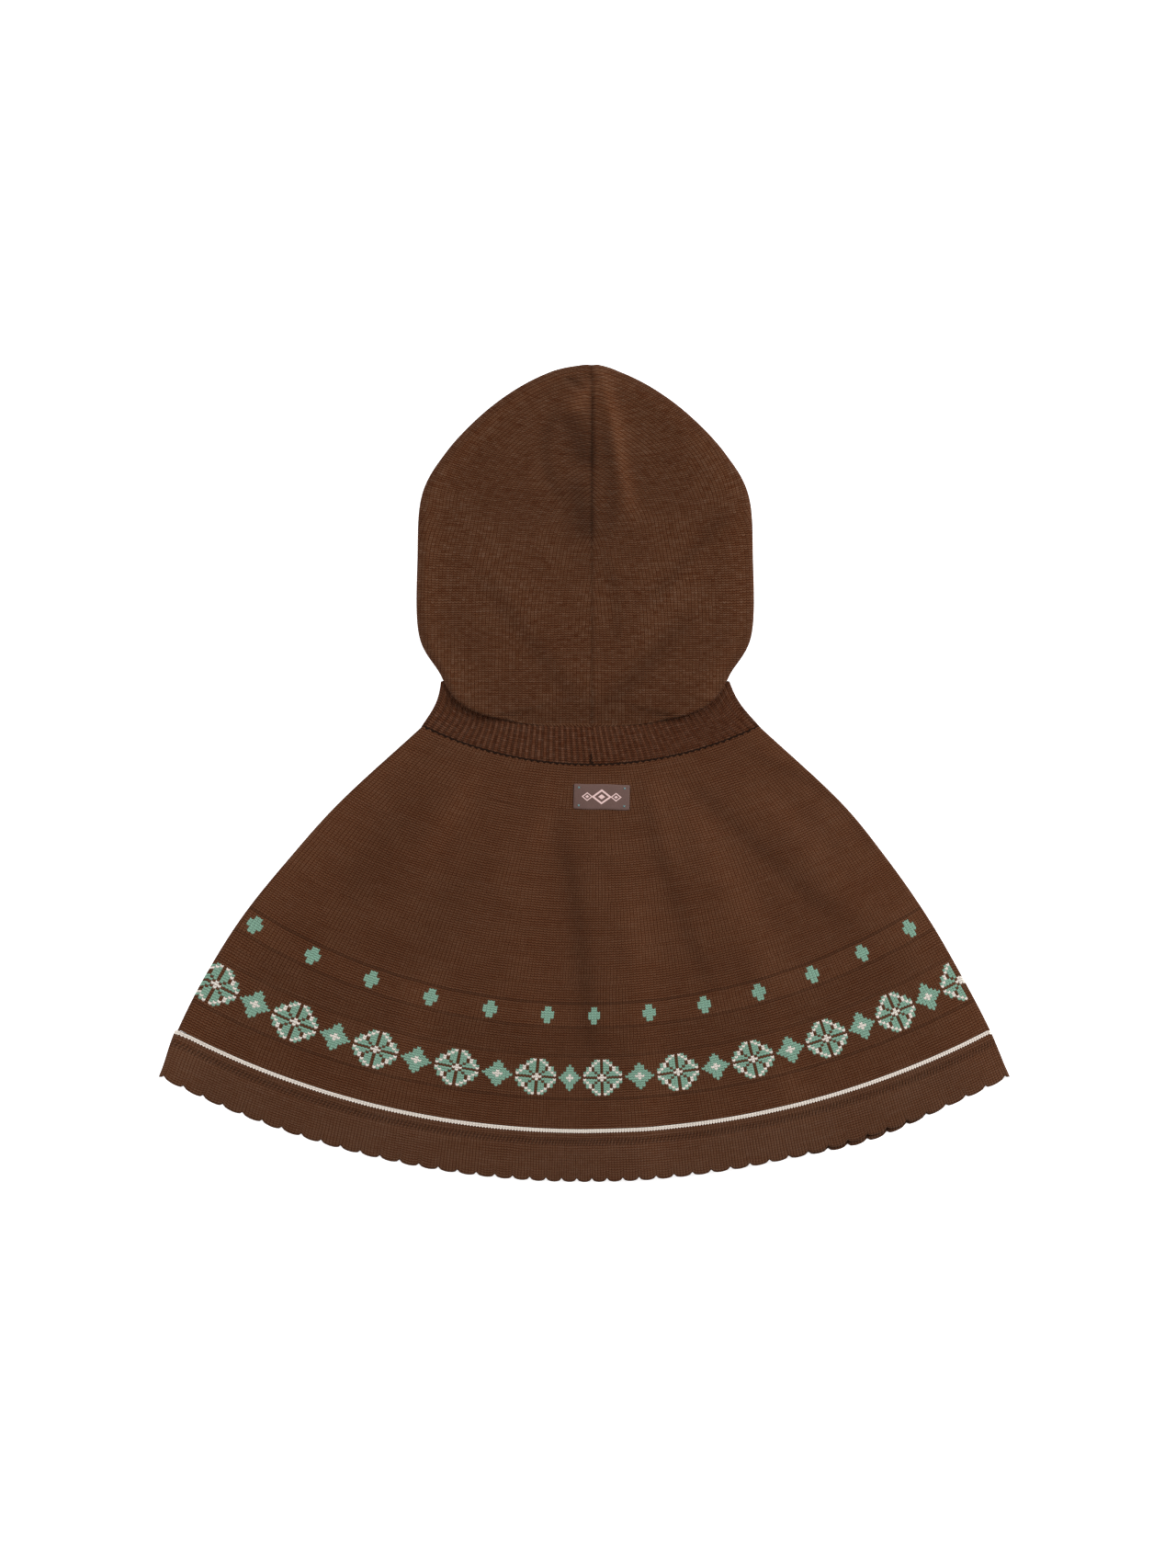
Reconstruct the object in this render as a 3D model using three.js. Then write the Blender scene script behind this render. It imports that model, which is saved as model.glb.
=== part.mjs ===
// A hooded knit cape for a small child, laid flat with its back up.
// Millimetres, +Z up. The origin is at the middle of the cape's outline, on the surface it lies on.
// +Y points to the hood's tip, +X to the right as seen from above.
import * as THREE from 'three';

// Cloth and how its layers lie on each other
const KNIT = 1.8; // thickness of the plain knit
const HEM = 2.2; // thickness of the turned hem
const LAYER_GAP = 0.35; // between two layers that lie on each other
const SEAM_GAP = 0.3; // between two pieces at a seam
const EDGE_ROUND = 2.2; // how far in from a side the layers round off
const EDGE_LIP = 0.3; // what is left of a layer at its side

// Body: rows of stitches from the neck seam to the hem, each an arc over the whole width.
// way is how far down the middle of the back the row lies, from 0 at the neck to 1 at the hem.
const BODY_ROWS = [
  { name: 'neck seam', way: 0, half: 111, middleX: 4.2, sideY: 30.9, middleY: 5.1 },
  { name: 'shoulder', way: 0.241, half: 163.5, middleX: 3.9, sideY: -17.7, middleY: -60.3 },
  { name: 'upper arm', way: 0.416, half: 194.4, middleX: 2.4, sideY: -53.7, middleY: -107.7 },
  { name: 'row of crosses', way: 0.602, half: 224.1, middleX: 0.3, sideY: -93.3, middleY: -158.1 },
  { name: 'wide band', way: 0.75, half: 247.8, middleX: -0.6, sideY: -132.9, middleY: -198.3 },
  { name: 'white stripe', way: 0.8765, half: 265.2, middleX: -0.3, sideY: -167.1, middleY: -232.5 },
  { name: 'hem edge', way: 1, half: 277.8, middleX: 0, sideY: -198.3, middleY: -267 },
];
const HEM_SEAM_WAY = 0.8765; // the hem band starts at the white stripe's upper side
const HEM_STEP = 1.5; // the hem band is this much wider than the body at its left end
const FRONT_NECK_DIP = 27; // the front neckline lies this much lower than the back one

// Scalloped edge
const SCALLOPS = 43;
const SCALLOP_DEPTH = 2.7;
const SCALLOP_SQUEEZE = 1.1; // scallops drawn together at the middle of the back
const FRONT_PEEK = { x: 186, width: 38, depth: 3.4 }; // the front hem shows below the back one here

// Soft folds of the back, as ridges along a bent line through three points
const BODY_FOLDS = [
  { name: 'main fold', x0: 19, y0: -24, x1: 32, y1: -102, x2: 40, y2: -300, width: 13, height: 2.8 },
  { name: 'beside main', x0: -46, y0: -20, x1: -38, y1: -96, x2: -27, y2: -210, width: 17, height: 1.5 },
  { name: 'right shoulder', x0: 62, y0: -8, x1: 96, y1: -88, x2: 138, y2: -165, width: 13, height: 2.1 },
  { name: 'right arm', x0: 96, y0: 2, x1: 146, y1: -54, x2: 196, y2: -112, width: 12, height: 1.7 },
  { name: 'left arm', x0: -112, y0: -2, x1: -158, y1: -54, x2: -186, y2: -118, width: 13, height: 1.6 },
];
const LOFT = 0.5; // the back panel lies this much loose over the front one

// Neckband
const RIBS = 54;
const RIB_RELIEF = 0.5;
const BAND_KNIT = 1.8;
const BAND_TOP_KNIT = 1.5; // where the hood laps it
const BAND_WAIST = 3.4; // the neckband's sides bow in by this
const BAND_REACH = 0.985; // its top is this much of the hood's lower edge across
const BAND_LAP = 4; // the back neckband reaches this far under the hood

// Hood: stations round the outline of one half, from the tip (0) down its side to the corner (8).
// half and y give the outline, seamY the place on the middle seam that faces it, top the height of the
// upper layer where the side fold starts and reach the fold's width. under and underY give the
// edge of the face opening on the under side.
const HOOD_STATIONS = [
  { name: 'tip', half: 0, y: 267, seamY: 257, top: 5.2, reach: 4, under: 0, underY: 228 },
  { name: 'crown', half: 20, y: 262.4, seamY: 250, top: 5.8, reach: 5, under: 10, underY: 225 },
  { name: 'crown side', half: 44, y: 250.8, seamY: 238, top: 6.4, reach: 6, under: 19, underY: 217 },
  { name: 'over the ear', half: 68, y: 233, seamY: 222, top: 6.9, reach: 6, under: 25, underY: 203 },
  { name: 'temple', half: 91, y: 208.6, seamY: 202, top: 7.2, reach: 6, under: 29, underY: 178 },
  { name: 'widest', half: 106.6, y: 180.8, seamY: 177, top: 7.4, reach: 6, under: 30, underY: 140 },
  { name: 'side', half: 109.5, y: 140, seamY: 141, top: 7.5, reach: 6, under: 30, underY: 75 },
  { name: 'cheek', half: 108.6, y: 90, seamY: 97, top: 7.6, reach: 6, under: 30.1, underY: 7.9 },
  { name: 'corner', half: 94.2, y: 63.3, seamY: 66, top: 7.9, reach: 5, under: 30.1, underY: 7.9 },
];
const CORNER = HOOD_STATIONS.length - 1;
const FOOT = CORNER + 5; // the last station, where the seam meets the neckband
// Lower edge, from its middle to the corners
const HOOD_FOOT = { y: 29.1, seamY: 42, half: 94.2, rise: 34.2 };
const HOOD_MIDDLE_X = 0.6; // the middle of the hood's outline
const HOOD_SEAM_X = 4.8; // the seam lies a little to the right of it
const HOOD_REST = 4.35; // height of the upper layer's outside along the seam
const HOOD_CALM = 7.6; // and at most where it starts to fold, but for the pouch
// Front neckline, where the hood's under side meets the neckband: how far out it starts and ends, as a
// part of the half width, and how it climbs from its middle to the sides
const FRONT_NECK = { from: 0.32, to: 0.945, y: 2.1, rise: 70.6, power: 2.2, sideY: 60 };
// The hood blouses over the neckband: its lower edge turns in with this bend and tail
const POUCH = { bend: 2.45, reach: 2.6, tail: 3.2, settle: 13, clear: 0.6 };
// Past the corner the cloth lifts off the under side, then turns in under itself
const LIFT = { done: 0.12, turnFrom: 0.3, turnDone: 0.8, tail: 1.2 };
const EDGE_SPREAD = 1.2; // room for the fold's columns where the edge doesn't turn in
const HOOD_FOLDS = [
  { name: 'beside the seam', x0: 31, y0: 258, x1: 22, y1: 216, x2: 34, y2: 150, width: 7, height: 1.4 },
  { name: 'left of the seam', x0: -2, y0: 262, x1: -6, y1: 236, x2: -14, y2: 190, width: 8, height: 0.9 },
  { name: 'lower left', x0: -76, y0: 150, x1: -48, y1: 100, x2: -8, y2: 42, width: 10, height: 1.0 },
  { name: 'lower right', x0: 84, y0: 172, x1: 58, y1: 116, x2: 24, y2: 52, width: 10, height: 1.1 },
];

const LABEL = { width: 36.5, height: 16.5, x: 11.3, y: -15.9, tilt: -1.3, thick: 0.6, gap: 0.45 };

const COLOURS = { knit: 0x51331f, hem: 0x543827, band: 0x4a2e1e, label: 0x6a504b };

// Small helpers
const clamp = (value, low, high) => Math.min(high, Math.max(low, value));
const mix = (a, b, part) => a + (b - a) * part;
const smooth = (low, high, value) => {
  const part = clamp((value - low) / (high - low), 0, 1);
  return part * part * (3 - 2 * part);
};

// A column of a table of rows, read at any key between the rows by a smooth curve
function readTable(rows, keyOf, key, column) {
  let index = 0;
  while (index < rows.length - 2 && key > keyOf(rows[index + 1], index + 1)) {
    index += 1;
  }
  const keyAt = (i) => keyOf(rows[i], i);
  const slopeAt = (i) => {
    const before = Math.max(i - 1, 0);
    const after = Math.min(i + 1, rows.length - 1);
    return (rows[after][column] - rows[before][column]) / (keyAt(after) - keyAt(before));
  };
  const span = keyAt(index + 1) - keyAt(index);
  const t = (key - keyAt(index)) / span;
  const from = rows[index][column];
  const to = rows[index + 1][column];
  const leave = slopeAt(index) * span;
  const arrive = slopeAt(index + 1) * span;
  const bend = (2 * t - 3) * t * t;
  return (1 + bend) * from - bend * to + ((t - 2) * t + 1) * t * leave + (t - 1) * t * t * arrive;
}

// A low soft ridge along each fold of a table, at a place seen from above
function ridges(folds, x, y) {
  let height = 0;
  for (const fold of folds) {
    const way = (fold.y0 - y) / (fold.y0 - fold.y2);
    if (way <= 0 || way >= 1) {
      continue;
    }
    const bendWay = (fold.y0 - fold.y1) / (fold.y0 - fold.y2);
    const bow = (fold.x1 - mix(fold.x0, fold.x2, bendWay)) / (bendWay * (1 - bendWay));
    const crest = mix(fold.x0, fold.x2, way) + bow * way * (1 - way);
    const lean = (fold.x2 - fold.x0) / (fold.y2 - fold.y0);
    const away = (x - crest) / Math.hypot(1, lean);
    const ends = smooth(0, 0.3, way) * (1 - smooth(0.75, 1, way));
    height += fold.height * ends * Math.exp(-((away / fold.width) ** 2));
  }
  return height;
}

// A closed wall from a grid of outer points and a grid of inner points of the same size
function wall(outer, inner) {
  const rows = outer.length;
  const columns = outer[0].length;
  const places = [];
  for (const grid of [outer, inner]) {
    for (const row of grid) {
      for (const point of row) {
        places.push(point.x, point.y, point.z);
      }
    }
  }
  const at = (layer, row, column) => (layer * rows + row) * columns + column;
  const faces = [];
  const quad = (a, b, c, d) => faces.push(a, b, c, a, c, d);
  for (let r = 0; r < rows - 1; r += 1) {
    for (let c = 0; c < columns - 1; c += 1) {
      quad(at(0, r, c), at(0, r, c + 1), at(0, r + 1, c + 1), at(0, r + 1, c));
      quad(at(1, r, c), at(1, r + 1, c), at(1, r + 1, c + 1), at(1, r, c + 1));
    }
    quad(at(0, r, 0), at(0, r + 1, 0), at(1, r + 1, 0), at(1, r, 0));
    const last = columns - 1;
    quad(at(0, r, last), at(1, r, last), at(1, r + 1, last), at(0, r + 1, last));
  }
  for (let c = 0; c < columns - 1; c += 1) {
    quad(at(0, 0, c), at(1, 0, c), at(1, 0, c + 1), at(0, 0, c + 1));
    const last = rows - 1;
    quad(at(0, last, c), at(0, last, c + 1), at(1, last, c + 1), at(1, last, c));
  }
  if (volumeOf(places, faces) < 0) {
    faces.reverse();
  }
  const geometry = new THREE.BufferGeometry();
  geometry.setAttribute('position', new THREE.Float32BufferAttribute(places, 3));
  geometry.setIndex(faces);
  geometry.computeVertexNormals();
  return geometry;
}

// Six times the signed volume, which is negative if the faces point inwards
function volumeOf(places, faces) {
  const corner = (index) => new THREE.Vector3().fromArray(places, 3 * index);
  let sum = 0;
  for (let i = 0; i < faces.length; i += 3) {
    const across = corner(faces[i + 1]).cross(corner(faces[i + 2]));
    sum += corner(faces[i]).dot(across);
  }
  return sum;
}

// A piece from functions of a column and a row that give its outer and inner points
function sheet(columns, rows, outerAt, innerAt) {
  const grid = (pointAt) => rows.map((row) => columns.map((column) => pointAt(column, row)));
  return wall(grid(outerAt), grid(innerAt));
}

function evenSteps(from, to, count) {
  return Array.from({ length: count + 1 }, (_, i) => mix(from, to, i / count));
}

// Columns from side to side, with two more close to each side where the layers round off
function columnsAcross(count, half) {
  const near = [0, 0.25, 1].map((part) => 1 - (part * EDGE_ROUND) / half);
  const inner = evenSteps(-near[2], near[2], count);
  return [-near[0], -near[1], ...inner, near[1], near[0]];
}

// Body, seen from above: across runs from -1 at the left side to 1 at the right one
function bodyPlan(across, way, dip = 0) {
  const read = (column) => readTable(BODY_ROWS, (row) => row.way, way, column);
  const half = read('half');
  const sideY = read('sideY');
  const middleY = read('middleY') - dip * (1 - smooth(0, 0.8, way));
  const drop = sideY - middleY;
  const radius = (half * half + drop * drop) / (2 * drop);
  const off = across * half;
  const y = middleY + radius - Math.sqrt(radius * radius - off * off);
  return { x: read('middleX') + off, y, half };
}

// How full a layer still is near a side: 1 away from it, 0 at its very edge
function fullness(across, half) {
  const inset = clamp(((1 - Math.abs(across)) * half) / EDGE_ROUND, 0, 1);
  return Math.sqrt(1 - (1 - inset) ** 2);
}

function bodyLift(x, y, across) {
  const held = (1 - smooth(0.86, 1, Math.abs(across))) * smooth(18, -30, y);
  return held * (LOFT + ridges(BODY_FOLDS, x, y));
}

const UNDER_TOP = Math.max(KNIT, HEM); // height of the front layer's upper side at the hem

// Inside of the back layer: it lies on the front layer, which is thicker at the hem
function backInside(x, y, across, thick) {
  return thick + LAYER_GAP + bodyLift(x, y, across);
}

function backLayer(plan, across, knit, under) {
  const inside = backInside(plan.x, plan.y, across, under);
  const outside = inside + mix(EDGE_LIP, knit, fullness(across, plan.half));
  return { inside, outside };
}

function frontLayer(plan, across, knit) {
  return { inside: knit, outside: (knit - EDGE_LIP) * (1 - fullness(across, plan.half)) };
}

function capeBack() {
  const rows = [0, 0.05, 0.12, 0.2, 0.28, 0.36, 0.44, 0.52, 0.6, 0.68, 0.76, 0.84];
  rows.push(HEM_SEAM_WAY - SEAM_GAP / 271);
  const place = (side) => (across, way) => {
    const plan = bodyPlan(across, way);
    const under = mix(KNIT, UNDER_TOP, smooth(0.78, HEM_SEAM_WAY, way));
    return new THREE.Vector3(plan.x, plan.y, backLayer(plan, across, KNIT, under)[side]);
  };
  return sheet(columnsAcross(34, 190), rows, place('outside'), place('inside'));
}

function capeFront() {
  const rows = [...evenSteps(0, 0.8, 6), HEM_SEAM_WAY - SEAM_GAP / 271];
  const place = (side) => (across, way) => {
    const plan = bodyPlan(across, way, FRONT_NECK_DIP);
    return new THREE.Vector3(plan.x, plan.y, frontLayer(plan, across, KNIT)[side]);
  };
  return sheet(columnsAcross(24, 190), rows, place('outside'), place('inside'));
}

// Scallops are counted along the hem, closer together at the middle
const scallopCount = (across) => (SCALLOPS / 2) * (1 + across) + SCALLOP_SQUEEZE * Math.tanh(6 * across);

function acrossAtCount(count) {
  let low = -1;
  let high = 1;
  for (let i = 0; i < 40; i += 1) {
    const middle = (low + high) / 2;
    if (scallopCount(middle) < count) {
      low = middle;
    } else {
      high = middle;
    }
  }
  return (low + high) / 2;
}

function scallopColumns() {
  const first = Math.ceil(3 * scallopCount(-1) + 0.5);
  const last = Math.floor(3 * scallopCount(1) - 0.5);
  const columns = [];
  for (let third = first; third <= last; third += 1) {
    columns.push(acrossAtCount(third / 3));
  }
  const lip = 0.25 * (EDGE_ROUND / 270);
  return [-1, -1 + lip, ...columns, 1 - lip, 1];
}

// How far the edge draws back between two scallops
function scallopNotch(across) {
  const part = scallopCount(across) - Math.floor(scallopCount(across) + 1e-6);
  const round = Math.sqrt(Math.max(0, 1 - (2 * part - 1) ** 2));
  return SCALLOP_DEPTH * (1 - round);
}

function hemBand(front) {
  const rows = [HEM_SEAM_WAY, 0.955, 1];
  const place = (side) => (across, way) => {
    const plan = bodyPlan(across, way);
    const edge = smooth(0.955, 1, way);
    const peek = front ? FRONT_PEEK.depth * Math.exp(-(((plan.x - FRONT_PEEK.x) / FRONT_PEEK.width) ** 2)) : 0;
    const step = across < 0 ? HEM_STEP * smooth(-0.97, -1, across) * (1 - smooth(HEM_SEAM_WAY, 1, way)) : 0;
    const layer = front ? frontLayer(plan, across, HEM) : backLayer(plan, across, HEM, HEM);
    const y = plan.y + edge * (scallopNotch(across) - peek);
    return new THREE.Vector3(plan.x - step, y, layer[side]);
  };
  return sheet(scallopColumns(), rows, place('outside'), place('inside'));
}

// The hood's lower edge, from 0 at its middle to 1 at its corners
function footLine(off) {
  return HOOD_FOOT.y + HOOD_FOOT.rise * (0.45 * off ** 2 + 0.55 * off ** 10);
}

function frontNeckline(off) {
  return Math.min(FRONT_NECK.y + FRONT_NECK.rise * off ** FRONT_NECK.power, FRONT_NECK.sideY);
}

// Neckband: up runs from 0 at the neck seam to 1 at its top, where the hood lies over the back one
function bandPlan(across, up, dip, topLine) {
  const low = bodyPlan(across, 0, dip);
  const reach = across * BAND_REACH;
  const topX = HOOD_MIDDLE_X + reach * HOOD_FOOT.half;
  const topY = topLine(Math.abs(reach)) - SEAM_GAP;
  const waist = BAND_WAIST * Math.sin(Math.PI * up) * across ** 3;
  return { x: mix(low.x, topX, up) - waist, y: mix(low.y + SEAM_GAP, topY, up), half: mix(111, 93.7, up) };
}

const bandTopInside = KNIT + LAYER_GAP;
const backBandTop = (off) => footLine(off) + BAND_LAP * (1 - smooth(0.6, 0.88, off));

function bandBack() {
  const columns = [-1, -0.995, ...evenSteps(-0.98, 0.98, 2 * RIBS), 0.995, 1];
  const place = (side) => (across, up) => {
    const plan = bandPlan(across, up, 0, backBandTop);
    const count = Math.round(((across + 0.98) / 1.96) * 2 * RIBS);
    const raised = count % 2 === 1 && Math.abs(across) < 0.98 ? RIB_RELIEF : 0;
    const fade = smooth(0, 0.1, up) * (1 - smooth(0.7, 0.82, up));
    const knit = mix(BAND_KNIT, BAND_TOP_KNIT, smooth(0.7, 0.85, up)) + raised * fade;
    const outside = bandTopInside + mix(EDGE_LIP, knit, fullness(across, plan.half));
    return new THREE.Vector3(plan.x, plan.y, side === 'inside' ? bandTopInside : outside);
  };
  return sheet(columns, [0, 0.12, 0.68, 0.84, 1], place('outside'), place('inside'));
}

function bandFront() {
  const place = (side) => (across, up) => {
    const plan = bandPlan(across, up, FRONT_NECK_DIP, frontNeckline);
    return new THREE.Vector3(plan.x, plan.y, frontLayer(plan, across, BAND_KNIT)[side]);
  };
  const outward = [...evenSteps(0.08, 0.8, 6), 0.86, 0.91, 0.955, 0.98, 0.995, 1];
  const columns = [...outward.map((across) => -across).reverse(), ...outward];
  return sheet(columns, [0, 0.5, 1], place('outside'), place('inside'));
}

// One hood half's outline at a station, seen from above
function hoodEdge(side, station) {
  const seamEnd = 1 - smooth(0, 1.2, station) + smooth(FOOT - 1, FOOT, station);
  const lean = (side * (HOOD_SEAM_X - HOOD_MIDDLE_X) + SEAM_GAP / 2) * seamEnd;
  const off = (FOOT - station) / (FOOT - CORNER);
  const onSide = station <= CORNER;
  const half = onSide ? readStation(station, 'half') : HOOD_FOOT.half * off;
  const y = onSide ? readStation(station, 'y') : footLine(off);
  return new THREE.Vector2(HOOD_MIDDLE_X + side * (half + lean), y);
}

function readStation(station, column) {
  return readTable(HOOD_STATIONS, (_, i) => i, station, column);
}

// Straight out from the outline. At both ends of the seam it runs along the seam.
function hoodOutward(side, station) {
  const step = 0.05;
  const along = hoodEdge(side, Math.min(station + step, FOOT)).sub(hoodEdge(side, Math.max(station - step, 0)));
  const outward = new THREE.Vector2(-side * along.y, side * along.x).normalize();
  outward.lerp(new THREE.Vector2(0, 1), 1 - smooth(0, 0.8, station));
  return outward.lerp(new THREE.Vector2(0, -1), smooth(FOOT - 1, FOOT, station)).normalize();
}

// How a station's cloth turns in at the outline: round to the under side, or under its own lower edge
function hoodTurn(station) {
  if (station <= CORNER) {
    const top = readStation(station, 'top');
    return { top, bend: top / 2, reach: readStation(station, 'reach'), wrap: Math.PI, tail: 0 };
  }
  const past = station - CORNER;
  const pouch = smooth(0, LIFT.turnDone, past);
  const turnedIn = smooth(LIFT.turnFrom, LIFT.turnDone, past);
  const blouse = smooth(0.1, 0.42, (FOOT - station) / (FOOT - CORNER));
  const lifted = smooth(0, LIFT.done, past) - turnedIn;
  const wrap = Math.PI * blouse * (1 - lifted / 2);
  const tail = mix(LIFT.tail, POUCH.tail, turnedIn) * blouse;
  const drop = POUCH.bend * (1 - Math.cos(wrap)) + tail * Math.sin(wrap) + KNIT * Math.max(0, Math.cos(wrap));
  const corner = HOOD_STATIONS[CORNER];
  return {
    top: mix(corner.top, bandTopInside + BAND_TOP_KNIT + POUCH.clear + drop, pouch),
    bend: mix(corner.top / 2, POUCH.bend, pouch),
    reach: mix(corner.reach, POUCH.reach, pouch),
    wrap,
    tail,
  };
}

// The edge of the under side that a station's cloth ends at: the face opening, then the front neckline
function underEdge(side, station) {
  if (station <= CORNER - 1) {
    const middle = mix(HOOD_SEAM_X, HOOD_MIDDLE_X, smooth(1, CORNER - 1, station));
    const off = Math.max(readStation(station, 'under'), SEAM_GAP / 2);
    return new THREE.Vector2(middle + side * off, readStation(station, 'underY'));
  }
  const off = mix(FRONT_NECK.from, FRONT_NECK.to, (station - CORNER + 1) ** 0.7);
  const y = FRONT_NECK.y + FRONT_NECK.rise * off ** FRONT_NECK.power;
  return new THREE.Vector2(HOOD_MIDDLE_X + side * off * HOOD_FOOT.half, y);
}

// What holds all along one station's line: how it turns in, where its fold starts and which way it faces
function hoodLine(side, station) {
  const turn = hoodTurn(station);
  const outward = hoodOutward(side, station);
  const room = EDGE_SPREAD * smooth(FOOT - 3, FOOT, station);
  const plainTail = turn.tail * Math.max(0, Math.cos(turn.wrap));
  const setBack = turn.reach * Math.sin(Math.min(turn.wrap, Math.PI / 2)) + plainTail + room;
  const foldStart = hoodEdge(side, station).addScaledVector(outward, -setBack);
  return { ...turn, side, station, outward, room, foldStart };
}

// The place on the middle seam where a station's line starts
function seamPlace(side, station) {
  const past = (station - CORNER) / (FOOT - CORNER);
  const cornerY = HOOD_STATIONS[CORNER].seamY;
  const y = past <= 0 ? readStation(station, 'seamY') : mix(cornerY, HOOD_FOOT.seamY, past);
  return new THREE.Vector2(HOOD_SEAM_X + (side * SEAM_GAP) / 2, y);
}

// Upper layer: part runs from the seam to the start of the fold
function hoodTop(line, part, depth) {
  const seam = seamPlace(line.side, line.station);
  const place = seam.clone().lerp(line.foldStart, part);
  const away = seam.distanceTo(line.foldStart) * (1 - part);
  const calm = Math.min(line.top, HOOD_CALM);
  const plain = mix(HOOD_REST, calm, smooth(0.05, 1, part));
  const pouch = (line.top - calm) * Math.exp(-((away / POUCH.settle) ** 2));
  const folds = ridges(HOOD_FOLDS, place.x, place.y) * (1 - smooth(0.75, 1, part));
  return new THREE.Vector3(place.x, place.y, plain + pouch + folds - depth);
}

// Fold: part runs round it. The cloth's inside turns on the same middle with a smaller bend.
function hoodFold(line, part, depth, spread = part / 2) {
  const angle = line.wrap * part;
  const out = (line.reach - depth) * Math.sin(angle) + line.room * spread;
  const sink = depth + (line.bend - depth) * (1 - Math.cos(angle));
  const place = line.foldStart.clone().addScaledVector(line.outward, out);
  return new THREE.Vector3(place.x, place.y, line.top - sink);
}

// Under side: part runs from the fold to the edge there, or along the tail of the lower edge
function hoodUnder(line, part, depth) {
  const point = hoodFold(line, 1, depth, (1 + part) / 2);
  if (line.station <= CORNER) {
    const edge = underEdge(line.side, line.station);
    return point.lerp(new THREE.Vector3(edge.x, edge.y, point.z), part);
  }
  const inward = part * line.tail * Math.cos(line.wrap);
  point.x += line.outward.x * inward;
  point.y += line.outward.y * inward;
  point.z -= part * line.tail * Math.sin(line.wrap);
  return point;
}

const HOOD_COLUMNS = [
  ...evenSteps(0, 1, 9).map((part) => ({ pointAt: hoodTop, part })),
  ...[0.25, 0.5, 0.75].map((part) => ({ pointAt: hoodFold, part })),
  ...[0, 0.15, 0.4, 0.7, 1].map((part) => ({ pointAt: hoodUnder, part })),
];
// Stations of the grid's lines: close together at the corner, where the cloth lifts off the under side
const HOOD_LEVELS = [
  ...evenSteps(0, CORNER - 1, 14),
  ...[0.25, 0.5, 0.75, 0.88].map((part) => CORNER - 1 + part),
  ...[0, 0.06, 0.12, 0.3, 0.5, 0.8, 1.2, 1.8, 2.5, 3.3, 4.1].map((past) => CORNER + past),
  FOOT,
];

function hoodHalf(side) {
  const lines = HOOD_LEVELS.map((station) => hoodLine(side, station));
  const grid = (depth) =>
    lines.map((line) => HOOD_COLUMNS.map(({ pointAt, part }) => pointAt(line, part, depth)));
  return wall(grid(0), grid(KNIT));
}

// The label lies on the back panel, which gives it its height at each point
function label() {
  const tilt = THREE.MathUtils.degToRad(LABEL.tilt);
  const place = (thick) => (across, up) => {
    const x = LABEL.x + across * Math.cos(tilt) - up * Math.sin(tilt);
    const y = LABEL.y + across * Math.sin(tilt) + up * Math.cos(tilt);
    const panel = backInside(x, y, 0, KNIT) + KNIT;
    return new THREE.Vector3(x, y, panel + LABEL.gap + thick);
  };
  const columns = evenSteps(-LABEL.width / 2, LABEL.width / 2, 6);
  const rows = evenSteps(-LABEL.height / 2, LABEL.height / 2, 3);
  return sheet(columns, rows, place(LABEL.thick), place(0));
}

function piece(name, geometry, colour, roughness = 0.95) {
  const material = new THREE.MeshStandardMaterial({ color: colour, roughness, metalness: 0 });
  const mesh = new THREE.Mesh(geometry, material);
  mesh.name = name;
  return mesh;
}

const cape = new THREE.Group();
cape.add(
  piece('cape_back', capeBack(), COLOURS.knit),
  piece('cape_front', capeFront(), COLOURS.knit),
  piece('hem_band_back', hemBand(false), COLOURS.hem),
  piece('hem_band_front', hemBand(true), COLOURS.hem),
  piece('neck_rib_back', bandBack(), COLOURS.band),
  piece('neck_rib_front', bandFront(), COLOURS.band),
  piece('hood_left', hoodHalf(-1), COLOURS.knit),
  piece('hood_right', hoodHalf(1), COLOURS.knit),
  piece('label', label(), COLOURS.label, 0.7),
);

export default cape;
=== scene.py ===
"""The look of a hooded knit cape for a small child, laid flat with its back up.

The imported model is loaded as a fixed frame. Each piece of cloth is a fine shell on the form of its
solid, with the creases of the real cloth, and its knit is a pattern in stitches.
"""

import math

import bpy
import numpy as np
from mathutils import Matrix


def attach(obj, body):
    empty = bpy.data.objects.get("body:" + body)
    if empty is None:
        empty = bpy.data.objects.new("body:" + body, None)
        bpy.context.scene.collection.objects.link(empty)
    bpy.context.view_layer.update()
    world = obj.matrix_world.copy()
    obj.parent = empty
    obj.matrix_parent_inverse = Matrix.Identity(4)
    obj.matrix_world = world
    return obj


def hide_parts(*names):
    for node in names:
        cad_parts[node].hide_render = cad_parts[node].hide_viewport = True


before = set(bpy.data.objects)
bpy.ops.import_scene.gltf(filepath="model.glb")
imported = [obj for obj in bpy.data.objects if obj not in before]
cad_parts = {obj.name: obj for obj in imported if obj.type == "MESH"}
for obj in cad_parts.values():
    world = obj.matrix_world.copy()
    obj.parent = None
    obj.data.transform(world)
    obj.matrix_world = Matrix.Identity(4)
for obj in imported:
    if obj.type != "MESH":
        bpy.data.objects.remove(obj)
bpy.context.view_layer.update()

bl_info = {
    "name": "Hooded Knit Cape",
    "version": (1, 0, 0),
    "blender": (4, 5, 0),
    "location": "3D View > Sidebar > Cape",
    "description": "Knits the cloth of a hooded cape over its plain solids",
    "category": "Object",
}

MM = 0.001  # the measures below are in millimetres, Blender's are in metres
BODY = "root"


def table(columns, *rows):
    """Rows of values under named columns; every row starts with its own name."""
    names = ["name", *columns.split()]
    return [dict(zip(names, row), number=number) for number, row in enumerate(rows)]


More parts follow.
